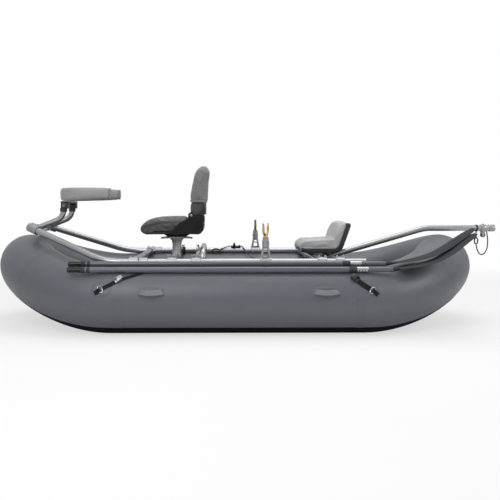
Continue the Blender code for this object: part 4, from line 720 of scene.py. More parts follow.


# Hull: one ring of four chambers, with seam tapes, a near-black band round the underside, patches and handles
hull = {
    "middleX": -0.1, "length": 3.2, "radius": 0.205, "endRadius": 0.192, "sideY": 0.515, "seamX": 0.715,
    "straight": 0.03, "planPower": 1.7, "kickStart": 0.8, "kickRise": 0.18, "kickPower": 1.8, "endSteps": 160,
    "step": 0.02, "sides": 72, "pucker": 0.0022, "puckerLength": 0.045, "bandHalfAngle": 42.0, "bandThick": 0.0014,
    "tapeWidth": 0.045, "tapeThick": 0.0009, "goreSpots": (0.28, 0.5, 0.72), "goreFrom": 0.05,
}
halfRing = hull["length"] / 2 - hull["endRadius"]
curveStart = hull["seamX"] + hull["straight"]


def planCurve(value):
    return abs(value) ** (2 / hull["planPower"])


def hullRow(direction, angle):
    # Centre and radius of the tube at an angle round one end of the ring
    along = curveStart + (halfRing - curveStart) * planCurve(max(math.cos(angle), 0.0))
    share = min(max((along - curveStart) / (halfRing - curveStart), 0.0), 1.0)
    side = hull["sideY"] * (1 - share ** hull["planPower"]) ** (1 / hull["planPower"])
    kick = min(max((along - hull["kickStart"]) / (halfRing - hull["kickStart"]), 0.0), 1.0)
    return (hull["middleX"] + direction * along, math.copysign(side, angle),
            hull["radius"] + hull["kickRise"] * kick ** hull["kickPower"],
            hull["radius"] + (hull["endRadius"] - hull["radius"]) * kick)


def hullLoop():
    # Even stations all the way round: port side, stern, starboard side, bow
    steps = hull["endSteps"]
    rows = np.array([hullRow(direction, (-math.pi / 2 + math.pi * k / steps) * direction)
                     for direction in (1, -1) for k in range(steps + 1)])
    closed = np.vstack([rows, rows[:1]])
    run = np.concatenate(([0], np.cumsum(np.linalg.norm(np.diff(closed[:, :3], axis=0), axis=1))))
    at = np.linspace(0, run[-1], int(run[-1] / hull["step"]) + 1)[:-1]
    return np.stack([np.interp(at, run, closed[:, k]) for k in range(4)], 1), run[-1]


def unit(rows):
    return rows / np.linalg.norm(rows, axis=1)[:, None]


loopRows, loopLength = hullLoop()
stationLength = loopLength / len(loopRows)
loopHeading = unit(np.roll(loopRows[:, :3], -1, 0) - np.roll(loopRows[:, :3], 1, 0))
loopOut = unit(np.cross(loopHeading, (0, 0, 1.0)))
loopUp = np.cross(loopOut, loopHeading)
loopBend = np.linalg.norm(np.roll(loopHeading, -3, 0) - np.roll(loopHeading, 3, 0), axis=1)


def onLoop(station, degrees, lift):
    # A place on the tube, which may lie between two stations, with the way out and the way along
    low = int(math.floor(station)) % len(loopRows)
    high, share = (low + 1) % len(loopRows), station - math.floor(station)
    row, heading, out, above = (table[low] * (1 - share) + table[high] * share
                                for table in (loopRows, loopHeading, loopOut, loopUp))
    turn = math.radians(degrees)
    normal = Vector(out).normalized() * math.cos(turn) + Vector(above).normalized() * math.sin(turn)
    return Vector(row[:3]) + normal * (row[3] + lift), normal, Vector(heading).normalized()


def stationAt(x, side):
    # The place on the loop at that X, on the port (-1) or the starboard (1) side
    on = [i for i, row in enumerate(loopRows) if row[1] * side > 0 or abs(row[1]) < 0.001]
    best = min(on, key=lambda i: abs(loopRows[i][0] - x))
    return best + (x - loopRows[best][0]) / (loopRows[(best + 1) % len(loopRows)][0] - loopRows[best][0])


def stationsAcross(end, along):
    # From one side to the other round the bow (-1) or the stern (1)
    first, last = (stationAt(hull["middleX"] + end * along, side) for side in (-end, end))
    return first, last + (len(loopRows) if last < first else 0)


def hullRing():
    rings = []
    for i, (row, out, above) in enumerate(zip(loopRows, loopOut, loopUp)):
        run = i * stationLength
        wave = math.sin(2 * math.pi * run / hull["puckerLength"] + 1.7 * math.sin(run * 5.3))
        ripple = hull["pucker"] * min(loopBend[i] * 3.5, 1.0) * (0.5 + 0.5 * wave)
        rings.append([row[:3] + (out * c + above * s) * (row[3] - ripple * max(-c, 0.0) ** 3)
                      for c, s in circle(hull["sides"])])
    place(skin("hullRing", rings, loop=True), "hullSkin", slot="hull",
          stands=("tube_bow", "tube_port", "tube_starboard", "tube_stern"))


def hullBand(stations, lowDegrees, highDegrees, lift, thick, steps=24):
    # A strip that lies on the tube between two angles, over a run of stations
    angles = [lowDegrees + (highDegrees - lowDegrees) * k / steps for k in range(steps + 1)]
    return [[onLoop(station, a, lift + thick)[0] for a in angles]
            + [onLoop(station, a, lift)[0] for a in angles[::-1]]
            for station in stations]


def rubStrip():
    # A near-black band round the underside of the tube, over its whole loop
    half, sunk = hull["bandHalfAngle"], 0.0004
    rings = hullBand(range(len(loopRows)), -90 - half, -90 + half, -sunk, hull["bandThick"] + sunk)
    place(skin("rubStrip", rings, loop=True), "rubStrip", slot="hull")


def seamTapes():
    # Wide tapes over the baffle seams and narrow ones over the gores of each end
    spots = [stationAt(hull["middleX"] + end * hull["seamX"], side) for end in (-1, 1) for side in (-1, 1)]
    gores = []
    for end in (1, -1):
        first, last = stationsAcross(end, curveStart + hull["goreFrom"])
        gores += [first + (last - first) * share for share in hull["goreSpots"]]
    pieces = []
    for wide, thick, places in ((1.0, 1.0, spots), (0.55, 0.5, gores)):
        half = hull["tapeWidth"] * wide / 2 / stationLength
        for station in places:
            stations = [station + half * share for share in (-1, -0.98, 0, 0.98, 1)]
            pieces.append(skin("tape", hullBand(stations, -180, 179.9, 0.0001, hull["tapeThick"] * thick, 72)))
    place(pieces, "seamTape", slot="hull", name="seamTapes")


def hullPatch(name, x, degrees, side, halfLength, halfHeight, thick, squareness, rounds=36, levels=5):
    # A glued patch: a rounded outline laid on the tube, thin towards its rim
    station, lift = stationAt(x, side), 0.0002
    low, share = int(math.floor(station)) % len(loopRows), station - math.floor(station)
    radius = loopRows[low][3] * (1 - share) + loopRows[(low + 1) % len(loopRows)][3] * share
    sizes = [(1.0, -0.0004)] + [(1 - 0.9 * k / levels, thick * min(k * 1.4, 1.0)) for k in range(levels + 1)]
    rings = []
    for share, height in sizes:
        ring = []
        for c, s in circle(rounds):
            dx, dz = (power(v, 2 / squareness) * half * share for v, half in ((c, halfLength), (s, halfHeight)))
            ring.append(onLoop(station - side * dx / stationLength, degrees + math.degrees(dz / radius),
                               lift + height)[0])
        rings.append(ring)
    return skin(name, rings, sharp=50.0)


# Tie-downs: ring patch, a welded ring, a strap and its cam buckle, on each side at bow and stern
tieDown = {
    "rows": (("bow", -0.886, 23.0, -0.79, 44.0, 0.024), ("stern", 0.668, 21.0, 0.57, 47.0, 0.032)),
    "patchRadius": 0.047, "patchThick": 0.0022, "ringRadius": 0.022, "ringLift": 0.0075, "wire": 0.0032,
    "strapThick": 0.0026, "strapFrom": 0.1, "strapLift": 0.003, "tab": (0.026, 0.0022), "buckleAt": 0.86,
    "free": (0.13, 12.0, 0.018),
}
handles = {
    "rows": (-0.611, 0.414), "angle": 19.0, "halfLength": 0.077, "halfHeight": 0.032,
    "gripLength": 0.13, "gripDrop": 3.0, "gripLift": 0.0035, "rise": 0.028, "gripWidth": 0.032,
    "gripThick": 0.005,
}


def strapOnHull(name, start, end, side, width, steps=14):
    # A strap between two places (X and angle) on the tube, with a line of stitches along each edge
    path, normals = [], []
    for share in (k / steps for k in range(steps + 1)):
        x, turn = (a + (b - a) * share for a, b in zip(start, end))
        at, normal, _ = onLoop(stationAt(x, side), turn, tieDown["strapLift"])
        path.append(at)
        normals.append(normal)
    made = ribbon(name, path, normals, width, tieDown["strapThick"])
    seams = []
    for offset in (-0.4, 0.4):
        edge = [at + headingAt(path, i).cross(normals[i]).normalized() * width * offset
                + normals[i] * (tieDown["strapThick"] + 0.0001) for i, at in enumerate(path)]
        seams.append(stitched(name + "Seam", edge, normals, "darkThread", 0.006))
    return made, seams, path, normals


def camBuckle(at, normal, heading, width):
    # A sprung cam buckle: frame with side plates, cam lever and pin
    turn = Matrix((heading, heading.cross(normal).normalized(), normal)).transposed().to_4x4()
    turn.translation = at
    half = width / 2
    cheek, lever = (mm(-20, 0, 20, 0, 21, 8, 8, 15, -6, 15, -20, 8),
                    mm(-4, 6, 10, 9, 28, 13.5, 28.5, 16.5, 8, 15.5, -5, 14))
    pieces = [plate("cheek", cheek, side * (half + 0.001), side * (half + 0.0032), "Y", 0.0006)
              for side in (-1, 1)]
    pieces += [block("base", (-0.02, -half - 0.003, 0.0), (0.02, half + 0.003, 0.0018), 0.0006),
               plate("lever", lever, -half, half, "Y", 0.001),
               bar("pin", (0.002, -half - 0.005, 0.0105), (0.002, half + 0.005, 0.0105), 0.0022, 14, 0.0004)]
    for piece in pieces:
        piece.data.transform(turn)
    return joined("buckle", pieces)


def tieDowns(sideName, side):
    webs, patches, metals, threads = [], [], [], []
    for end, ringX, ringTurn, strapX, strapTurn, width in tieDown["rows"]:
        patches.append(hullPatch("ringPatch", ringX, ringTurn, side, tieDown["patchRadius"],
                                 tieDown["patchRadius"], tieDown["patchThick"], 2.2))
        at, normal, _ = onLoop(stationAt(ringX, side), ringTurn, tieDown["ringLift"])
        towards = onLoop(stationAt(strapX, side), strapTurn, tieDown["ringLift"])[0] - at
        towards = (towards - normal * towards.dot(normal)).normalized()
        athwart, r = normal.cross(towards).normalized(), tieDown["ringRadius"]
        ring = [at + towards * (r * 0.55 * c) + athwart * (r * s) for c, s in circle(32)]
        metals.append(paint(sweep("deeRing", ring, tieDown["wire"], 10, loop=True), "boltSteel"))
        # The webbing tab that holds the ring on its patch
        tab = [at + towards * a + normal * b for a, b in mm(-40, -4.5, -28, -4, -12, 1.5, -6, 4.5, 0.5, 3.5)]
        webs.append(ribbon("tab", smoothPath(tab, 4), [normal] * 17, *tieDown["tab"]))
        first = [a + (b - a) * tieDown["strapFrom"] for a, b in ((ringX, strapX), (ringTurn, strapTurn))]
        made, seams, path, normals = strapOnHull("strap", first, (strapX, strapTurn), side, width)
        webs.append(made)
        threads += seams
        if end == "bow":
            reach, turn, freeWidth = tieDown["free"]
            free, seams, _, _ = strapOnHull("free", (strapX - 0.01, strapTurn - 4),
                                            (strapX + reach, strapTurn + turn), side, freeWidth)
            webs.append(free)
            threads += seams
        index = int(len(path) * tieDown["buckleAt"]) - 1
        buckle = camBuckle(path[index] + normals[index] * tieDown["strapThick"], normals[index],
                           (path[index] - path[index - 1]).normalized(), width)
        metals.append(paint(buckle, "castAlloy" if end == "bow" else "blackPlastic"))
    place(patches, "seamTape", slot="hull", name="tieDownPatches" + sideName)
    place(webs, "webbing", slot="webbing", name="tieDownWebbing" + sideName,
          stands=[f"tie_down_{end}_{sideName.lower()}" for end in ("bow", "stern")])
    place(metals, slot="steel", name="tieDownMetal" + sideName)
    place(threads, slot="webbing", name="tieDownStitches" + sideName)


def carryHandles(sideName, side):
    patches, grips, angle = [], [], handles["angle"]
    for x in handles["rows"]:
        for name, turn, long, tall, thick, squareness in (("handlePatch", 0.0, 1.0, 1.0, 0.003, 5.0),
                                                          ("handlePad", 2.5, 0.62, 0.42, 0.0075, 6.0)):
            patches.append(hullPatch(name, x, angle + turn, side, handles["halfLength"] * long,
                                     handles["halfHeight"] * tall, thick, squareness))
        path, normals = [], []
        for step in range(29):
            share = step / 28
            swell = math.sin(math.pi * share) ** 0.65 if 0 < step < 28 else 0.0
            at, normal, _ = onLoop(stationAt(x + (share - 0.5) * handles["gripLength"], side),
                                   angle - handles["gripDrop"] * swell,
                                   handles["gripLift"] + handles["rise"] * swell)
            path.append(at)
            normals.append(normal)
        grips.append(ribbon("grip", path, normals, handles["gripWidth"], handles["gripThick"]))
    place(patches, "seamTape", slot="hull", name="handlePatches" + sideName)
    place(grips, "handleGrey", slot="webbing", name="handleGrips" + sideName,
          stands=[f"handle_{end}_{sideName.lower()}" for end in ("front", "rear")])


floorPad = {"edge": 0.018, "treadInset": 0.075, "treadThick": 0.0022, "steps": 60, "grommets": 0.16,
            "grommetInset": 0.032, "skirtTurn": 207.0, "skirtSag": 0.01, "skirtThick": 0.0024, "skirtEdge": 0.022,
            "skirtSteps": 72}


def floorOutline(inset, steps=floorPad["steps"]):
    low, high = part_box("floor_mattress")
    halfWidth, tip, seam = (high.y - low.y) / 2 - inset, (high.x - low.x) / 2 - inset, hull["seamX"] - inset * 0.4
    points = []
    for direction in (1, -1):
        for k in range(steps + 1):
            angle = direction * math.pi * (k / steps - 0.5)
            x = seam + (tip - seam) * planCurve(max(math.cos(angle), 0.0))
            points.append((hull["middleX"] + direction * x,
                           math.copysign(halfWidth * planCurve(math.sin(angle)), math.sin(angle))))
    return points


def floorLevels(name, levels):
    return skin(name, [[(x, y, z) for x, y in floorOutline(inset)] for inset, z in levels])


def floorMattress():
    # A drop-stitch mattress with rounded edges, a tread pad glued on top, and eyelets round its rim
    low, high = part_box("floor_mattress")
    edge, tread, top = floorPad["edge"], floorPad["treadInset"], high.z
    levels = []
    for turn in (-90, -60, -30, 0, 0, 30, 60, 90):
        rise = edge * math.sin(math.radians(turn))
        lower = turn < 0 or (turn == 0 and len(levels) == 3)
        levels.append((edge * (1 - math.cos(math.radians(turn))),
                       low.z + edge + rise if lower else top - edge + rise))
    place(floorLevels("floorMattress", levels), "floorSkin", stands="floor_mattress", slot="floor")
    place(floorLevels("treadPad", ((tread, top - 0.0004), (tread + 0.0002, top + 0.0012),
                                   (tread + 0.0018, top + floorPad["treadThick"]))), "treadPad", slot="floor")
    line = evenPath([(x, y, top) for x, y in floorOutline(floorPad["grommetInset"])], floorPad["grommets"], True)
    eyelet = template(lathe("eyeletShape", mm(4.8, 0, 8.5, 0, 9, 0.8, 7, 1.8, 5, 1.4, 4.8, 0), sides=20))
    place(repeated("floorEyelets", eyelet, [(p, up, aft) for p in line], "boltSteel"), slot="steel")


def floorSkirts():
    # A skirt of hull cloth at each end, from the flat floor up to the rising tube
    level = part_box("floor_mattress")[1].z - floorPad["skirtEdge"]
    edge = [Vector((x, y, level)) for x, y in floorOutline(0.004, 400)]
    skirts, steps = [], floorPad["skirtSteps"]
    for end in (1, -1):
        first, last = stationsAcross(end, hull["seamX"])
        rings = []
        for k in range(steps + 1):
            outer = onLoop(first + (last - first) * k / steps, floorPad["skirtTurn"], -0.003)[0]
            inner = min(edge, key=lambda p: (p.xy - outer.xy).length)
            over = [inner.lerp(outer, share) - up * floorPad["skirtSag"] * math.sin(math.pi * share)
                    for share in (step / 6 for step in range(7))]
            rings.append(over + [p - up * floorPad["skirtThick"] for p in over[::-1]])
        skirts.append(skin("skirt", rings))
    place(skirts, "floorSkin", slot="hull", name="floorSkirts")


hullRing()
rubStrip()
seamTapes()
for sideName, side in (("Port", -1), ("Starboard", 1)):
    tieDowns(sideName, side)
for sideName, side in (("Port", -1), ("Starboard", 1)):
    carryHandles(sideName, side)
floorMattress()
floorSkirts()
print("hull and floor made")


# Frame: rails, crossbars in cast clamps, bow bar, foot bar and thigh brace posts
pipes = {
    "radius": 0.021, "braceRadius": 0.019, "railY": hull["sideY"], "railZ": 2 * hull["radius"] + 0.0003 + 0.021,
    "railStern": 0.685, "railBend": -0.91, "bendRadius": 0.35, "bowX": -1.43, "bowZ": 0.6255, "bowY": 0.22,
    "sleeve": 0.029, "sleeveLength": 0.056, "crossSleeve": 0.0275, "bore": 0.0001, "saddleFlat": 0.0004,
    "footY": 0.28, "footTop": 0.488, "footBend": 0.06, "footSunk": 0.01,
    "postY": 0.127, "postX": -1.251, "postTop": 0.752, "postBend": 0.075, "postBendZ": 0.697,
    "crossbars": {"crossbar_bow": (-0.735, "cap"), "crossbar_pedestal": (-0.502, "wing"),
                  "crossbar_foot": (-0.354, "wing"), "crossbar_seat": (0.418, "bolt"),
                  "crossbar_rear": (0.528, "bolt")},
    "boltHeight": {"bolt": (0.019, 0.034), "wing": (0.013, 0.038), "cap": (0.018, 0.027)},
}
railZ, railY, pipeR = pipes["railZ"], pipes["railY"], pipes["radius"]
bowX, bowZ, sleeveR = pipes["bowX"], pipes["bowZ"], pipes["sleeve"]
bored = pipeR + pipes["bore"]


def railCorner(side):
    # The rail's front end, and the way its rising run heads
    corner = Vector((bowX, side * pipes["bowY"], bowZ))
    return corner, (corner - Vector((pipes["railBend"], side * railY, railZ))).normalized()


def saddle(x, y):
    # A casting round the rail, flat where it sits on the tube, with broken edges
    half, edge, flat = pipes["sleeveLength"] / 2, 0.0016, 2 * hull["radius"] + pipes["saddleFlat"] - railZ
    outline = [(sleeveR * c, max(sleeveR * s, flat)) for c, s in circle(40)]
    sizes = [(dx, 1 - t / sleeveR)
             for dx, t in ((-half, edge), (-half + edge, 0), (half - edge, 0), (half, edge))]
    rings = [[(x + dx, y + size * v, railZ + size * w) for v, w in outline] for dx, size in sizes]
    hole = (pipeR + 0.0002) / sleeveR
    rings += [[(x + dx, y + v * hole, railZ + max(w, -pipeR) * hole) for v, w in outline] for dx in (half, -half)]
    return skin("saddle", rings, loop=True, sharp=40.0)


def clampAt(x, side, kind):
    # A cast saddle round the rail with a sleeve for the crossbar and its fastenings
    y = side * railY
    cast = [saddle(x, y), bar("crossSleeve", (x, y - side * 0.012, railZ), (x, y - side * 0.082, railZ),
                              pipes["crossSleeve"], 32, 0.002, bored)]
    apart, height = pipes["boltHeight"][kind]
    for dx in (-apart, apart):
        if kind == "bolt":
            cast.append(block("lug", (x + dx - 0.008, y - 0.011, railZ + 0.02),
                              (x + dx + 0.008, y + 0.011, railZ + height), 0.002))
        elif kind == "wing":
            cast.append(bar("stud", (x + dx, y, railZ + 0.02), (x + dx, y, railZ + height), 0.0045, 14, 0.0006))
            lean = math.copysign(1, dx)
            wing = [(x + dx + a * lean, railZ + b)
                    for a, b in mm(-4, 30, 4, 29, 18, 40, 20, 45, 14, 45, -3, 37)][::int(lean)]
            cast.append(plate("wing", wing, y - 0.0035, y + 0.0035))
    if kind == "cap":
        cast.append(bar("capSleeve", (x + 0.03, y, railZ), (x + 0.088, y, railZ), sleeveR - 0.001, 36, 0.004,
                        bored))
    bolts = [(Vector((x + dx, y, railZ + height)), up, aft) for dx in (-apart, apart)]
    return cast, bolts + [(Vector((x + 0.0265, y - side * 0.047, railZ)), aft, starboard)]


def sleeveAcross(name, x, y, z, half, radius):
    return bar(name, (x, y - half, z), (x, y + half, z), radius, 36, 0.002, bored)


def frameWork():
    tubes, castings, bolts, plugs = [], [], [], []
    for side in (-1, 1):
        corner, heading = railCorner(side)
        route = ((pipes["railStern"], side * railY, railZ), (pipes["railBend"], side * railY, railZ),
                 corner - heading * 0.01)
        tubes.append(sweep("rail", bentPath(route, pipes["bendRadius"], 24), pipeR, 32))
        plugs.append(lathe("railPlug", mm(0, 6, 12, 5.5, 19, 3, 20.5, 0, 19, -2, 0, -2), route[0], 32, aft))
        castings += [bar("bowSocket", corner - heading * 0.045, corner + heading * 0.035, sleeveR, 36, 0.002),
                     bar("bowCross", corner, corner - starboard * side * 0.045, pipes["crossSleeve"], 36, 0.002)]
        over = heading.cross(starboard).normalized()
        over = over if over.z > 0 else -over
        bolts += [(corner + heading * back + over * (sleeveR - 0.001), over, heading) for back in (-0.03, 0.018)]
    for x, kind in pipes["crossbars"].values():
        crossbar = bar("crossbar", (x, -railY, railZ), (x, railY, railZ), pipeR, 32, 0.001)
        # The bow crossbar takes the dark oar-shaft finish as painted shade, so it merges with the shaded hull
        # behind it
        if kind == "cap":
            place(crossbar, "oarShaft", slot="pipe", name="bowCrossbar")
        else:
            tubes.append(crossbar)
        for side in (-1, 1):
            cast, fixings = clampAt(x, side, kind)
            castings += cast
            bolts += fixings
    tubes.append(bar("bowBar", (bowX, -pipes["bowY"], bowZ), (bowX, pipes["bowY"], bowZ), pipeR, 32, 0.001))
    barX, braceR = pipes["crossbars"]["crossbar_foot"][0], pipes["braceRadius"]
    foot = [(barX + pipeR + braceR - 0.005, side * pipes["footY"], z)
            for side, z in ((-1, railZ - pipes["footSunk"]), (-1, pipes["footTop"]), (1, pipes["footTop"]),
                            (1, railZ - pipes["footSunk"]))]
    tubes.append(sweep("footBar", bentPath(foot, pipes["footBend"]), braceR, 28, firstUp=aft))
    for side in (-1, 1):
        y = side * pipes["footY"]
        castings.append(sleeveAcross("footClamp", barX, y, railZ, 0.025, sleeveR))
        bolts.append((Vector((barX, y, railZ + sleeveR - 0.001)), up, aft))
        y = side * pipes["postY"]
        corners = [(x, y, z) for x, z in ((bowX, bowZ), (pipes["postX"], pipes["postBendZ"]),
                                          (pipes["postX"], pipes["postTop"]))]
        tubes.append(sweep("bracePost", bentPath(corners, pipes["postBend"], 14), braceR, 32, firstUp=starboard))
        castings.append(sleeveAcross("postClamp", bowX, y, bowZ, 0.023, pipes["crossSleeve"]))
        bolts.append((Vector((bowX - 0.012, y, bowZ + 0.0245)), Vector((-0.42, 0, 0.9)).normalized(),
                      starboard))
    place(tubes, "pipeAlloy", slot="pipe", name="framePipes",
          stands=("rail_port", "rail_starboard", "foot_bar", "brace_post_port", "brace_post_starboard"))
    place(castings, "castAlloy", stands=[*pipes["crossbars"], "bow_bar"], slot="cast", name="frameCastings")
    bolted("frameBolts", bolts)
    place(plugs, "blackPlastic", slot="black_plastic", name="railPlugs")


frameWork()
print("frame made")


# Padded pieces: an even mesh, swollen by a short cloth run, then seams and folds
swelling = {"frames": 20, "quality": 5, "mass": 0.3, "stiffness": 12}


def pointsOf(mesh):
    points = np.zeros(len(mesh.vertices) * 3, np.float32)
    mesh.vertices.foreach_get("co", points)
    return points.reshape(-1, 3)


def setPoints(mesh, points):
    mesh.vertices.foreach_set("co", points.astype(np.float32).ravel())
    mesh.update()


def evaluated(piece):
    return bpy.data.meshes.new_from_object(piece.evaluated_get(bpy.context.evaluated_depsgraph_get()))


def swollen(soft, start, cap, pressure):
    # Where the cloth's points come to rest under the pressure, none further than the cap
    cloth = soft.modifiers.new("swell", "CLOTH")
    settings = cloth.settings
    settings.quality, settings.mass = swelling["quality"], swelling["mass"]
    settings.tension_stiffness = settings.compression_stiffness = swelling["stiffness"]
    settings.use_pressure, settings.uniform_pressure_force = True, pressure
    settings.effector_weights.gravity = 0
    cloth.point_cache.frame_start, cloth.point_cache.frame_end = 1, swelling["frames"]
    for number in range(1, swelling["frames"] + 1):
        scene.frame_set(number)
    move = pointsOf(soft.evaluated_get(bpy.context.evaluated_depsgraph_get()).to_mesh()) - start
    soft.modifiers.clear()
    scene.frame_set(1)
    far = np.linalg.norm(move, axis=1)
    return start + move * np.minimum(1.0, cap / np.maximum(far, 1e-9))[:, None]


def plump(cage, name, voxel, cap, pressure, shape=None, crease=None):
    even = cage.modifiers.new("even", "REMESH")
    even.mode, even.voxel_size = "VOXEL", voxel
    soft = addObject(name, evaluated(cage))
    bpy.data.objects.remove(cage)
    start = pointsOf(soft.data)
    if shape:
        start = shape(start)
        setPoints(soft.data, start)
    setPoints(soft.data, swollen(soft, start, cap, pressure))
    finer = soft.modifiers.new("finer", "SUBSURF")
    finer.levels = finer.render_levels = 1
    done = evaluated(soft)
    soft.modifiers.clear()
    soft.data = done
    setPoints(done, crease(pointsOf(done)))
    done.shade_smooth()
    return soft


def padding(cage, name, finish, node, slot, softness, voxel, cap, pressure, body="raft", **shaping):
    made = plump(cage, name, voxel, cap, pressure, **shaping)
    place(made, finish, body, node, slot)


def groove(distance, width, depth):
    # How far a seam pulls the surface in, at a distance from it
    return depth * np.exp(-(distance / width) ** 2)


def ramp(values, start, run):
    # From 0 to 1 over a run of values
    return np.clip((values - start) / run, 0, 1)


def awayFrom(points, centre, weights=(1, 1, 1)):
    # The way outward from a middle at each point
    out = (points - centre) * np.array(weights)
    return out / np.maximum(np.linalg.norm(out, axis=1), 1e-6)[:, None]


# Thigh brace: a padded U on a bracket, with a knit cover over each end
bracePad = {
    "front": -1.279, "rear": -0.928, "halfWidth": 0.25, "bottom": 0.8035, "height": 0.0955, "thick": 0.07,
    "cornerRadius": 0.12, "inset": 0.004, "swell": 0.006, "slope": 0.16, "drop": 0.003, "roundness": 0.55,
    "lids": mm(-6, 6, 1, 4.5, 4.5, 7, 6, 13), "channel": (-0.015, 0.034), "channelY": 0.15, "socketZ": 0.756,
}


def braceSection(at, across, share, inset):
    # The pad's rounded section at a place along its U; it is lower towards the ends of the arms
    height = bracePad["height"] * (1 - bracePad["slope"] * share)
    middle = at + up * ((bracePad["height"] - height) / 2 - bracePad["drop"] * share)
    half, tall = bracePad["thick"] / 2 - inset, height / 2 - inset
    bulge = bracePad["roundness"]
    return [middle + across * (power(c, bulge) * half) + up * (power(s, bulge) * tall) for c, s in circle(28)]


def braceCreases(points):
    # Seams where the top and bottom panels meet the wall, and soft pulls in the cover
    x, y, z = points.T
    low, high = bracePad["bottom"], bracePad["bottom"] + bracePad["height"]
    pull = 0.0006 * np.sin(x * 61 + np.sin(z * 90) * 1.4) * np.sin(z * 47 + y * 21)
    seam = groove(z - (high - 0.012), 0.0022, 0.0013) + groove(z - (low + 0.016), 0.0022, 0.0013)
    return points - awayFrom(points, points.mean(0), (1, 1, 0)) * (seam + pull)[:, None]


def thighBrace():
    half, rear = bracePad["thick"] / 2, bracePad["rear"]
    front, side = bracePad["front"] + half, bracePad["halfWidth"] - half
    middle = bracePad["bottom"] + bracePad["height"] / 2
    corners = [(x, y, middle) for x, y in ((rear, -side), (front, -side), (front, side), (rear, side))]
    route = evenPath(bentPath(corners, bracePad["cornerRadius"], 16), 0.012)
    rings = []
    for i, at in enumerate(route):
        heading, shrink = headingAt(route, i), {0: 0.006, 1: 0.0015}.get(min(i, len(route) - 1 - i), 0.0)
        rings.append(braceSection(at, Vector((-heading.y, heading.x, 0)), (at.x - front) / (rear - front),
                                  bracePad["inset"] + shrink))
    lids = [skin("lid", [braceSection(Vector((rear + dx, y, middle)), starboard, 1.0, inset)
                         for dx, inset in bracePad["lids"]]) for y in (-side, side)]
    padding(skin("pad", rings), "bracePadCover", "padVinyl", "brace_pad", "grey_fabric", 0.9, 0.006,
            bracePad["swell"], 3.0, crease=braceCreases)
    place(lids, "padMesh", slot="grey_fabric", name="braceLids")
    # A moulded channel under the pad, with a socket over each post
    x, top, wide = pipes["postX"], bracePad["bottom"] + 0.003, bracePad["channelY"]
    first, last = (x + dx for dx in bracePad["channel"])
    pieces = [block("channel", (first, -wide, top - 0.014), (last, wide, top), 0.003)]
    for side in (-1, 1):
        low, high = sorted((side * 0.101, side * wide))
        y = side * pipes["postY"]
        pieces += [block("socket", (first, low, bracePad["socketZ"]), (last, high, top - 0.012), 0.004),
                   bar("boss", (x, y, 0.735), (x, y, 0.762), 0.0235, 32, 0.003)]
    place(pieces, "blackPlastic", stands="brace_bracket", slot="black_plastic", name="braceBracket")
    bolted("bracketBolts", [(Vector((x + 0.005, side * 0.1503, 0.776)), starboard * side, aft)
                            for side in (-1, 1)])


# Front seat: cushion over a moulded pan, on its swivel and post
frontSeat = {
    "halfWidth": 0.205, "cheek": 0.018, "top": 0.697, "bottom": 0.5995, "front": -0.751, "rear": -0.42,
    "lip": 0.5845, "panFront": -0.645, "postX": -0.502, "postR": 0.0315, "postTop": 0.5585, "plateR": 0.08,
    "hingeX": -0.396, "hingeZ": 0.713, "swell": 0.009, "inset": 0.006, "crossSeams": (-0.662, -0.545), "sideSeams": 0.118,
    "seam": (0.0042, 0.0034), "backSeam": 0.172, "leverY": -0.021,
    "piping": ((-0.43, 1.0, 0.6695), (-0.52, 1.0, 0.6685), (-0.6, 0.995, 0.6655), (-0.66, 0.985, 0.655),
               (-0.7, 0.955, 0.638), (-0.722, 0.9, 0.62)),
    "back": ((-0.296, 0.86), (-0.292, 0.93), (-0.284, 0.995), (-0.281, 1.02), (-0.286, 1.037), (-0.3, 1.0475),
             (-0.326, 1.0475), (-0.349, 1.031), (-0.371, 0.992), (-0.386, 0.925), (-0.397, 0.85)),
}
seatHalf = frontSeat["halfWidth"] - frontSeat["cheek"]


def cushionShape(points):
    # The plan rounds at the nose, and the top sinks a little where it is sat on
    points[:, 1] *= 1 - 0.1 * ramp(-points[:, 0], 0.66, 0.09) ** 2
    edge = np.clip(np.abs(points[:, 1]) / (seatHalf - 0.003), 0, 1)
    points[:, 2] -= ramp(points[:, 2], 0.64, 0.05) * (0.012 * edge ** 6 - 0.004 * (1 - edge ** 2))
    return points


def cushionCreases(points):
    # Sewn lines: two across the cushion, one along each side of the middle panel and one round the wall
    x, y, z = points.T
    top, across = ramp(z, 0.64, 0.03), np.abs(y)
    pull = groove(across - frontSeat["sideSeams"], *frontSeat["seam"])
    for at in frontSeat["crossSeams"]:
        pull += groove(x - at - 0.05 * (across / 0.19) ** 2, *frontSeat["seam"])
    wall = groove(z - (0.668 - 0.35 * np.clip(-0.62 - x, 0, 1)), 0.003, 0.0026) * (across > 0.15)
    wrinkle = 0.0007 * np.sin(x * 70 + y * 33) * np.sin(z * 120 + x * 25) * (1 - top)
    onPan = x > frontSeat["panFront"] - 0.004
    points = points - awayFrom(points, (-0.56, 0, 0.64)) * (wall + wrinkle)[:, None]
    points[:, 2] = np.maximum(points[:, 2] - pull * top, np.where(onPan, frontSeat["bottom"], frontSeat["lip"]))
    points[:, 0] = np.minimum(points[:, 0], frontSeat["rear"] + 0.002)
    return points


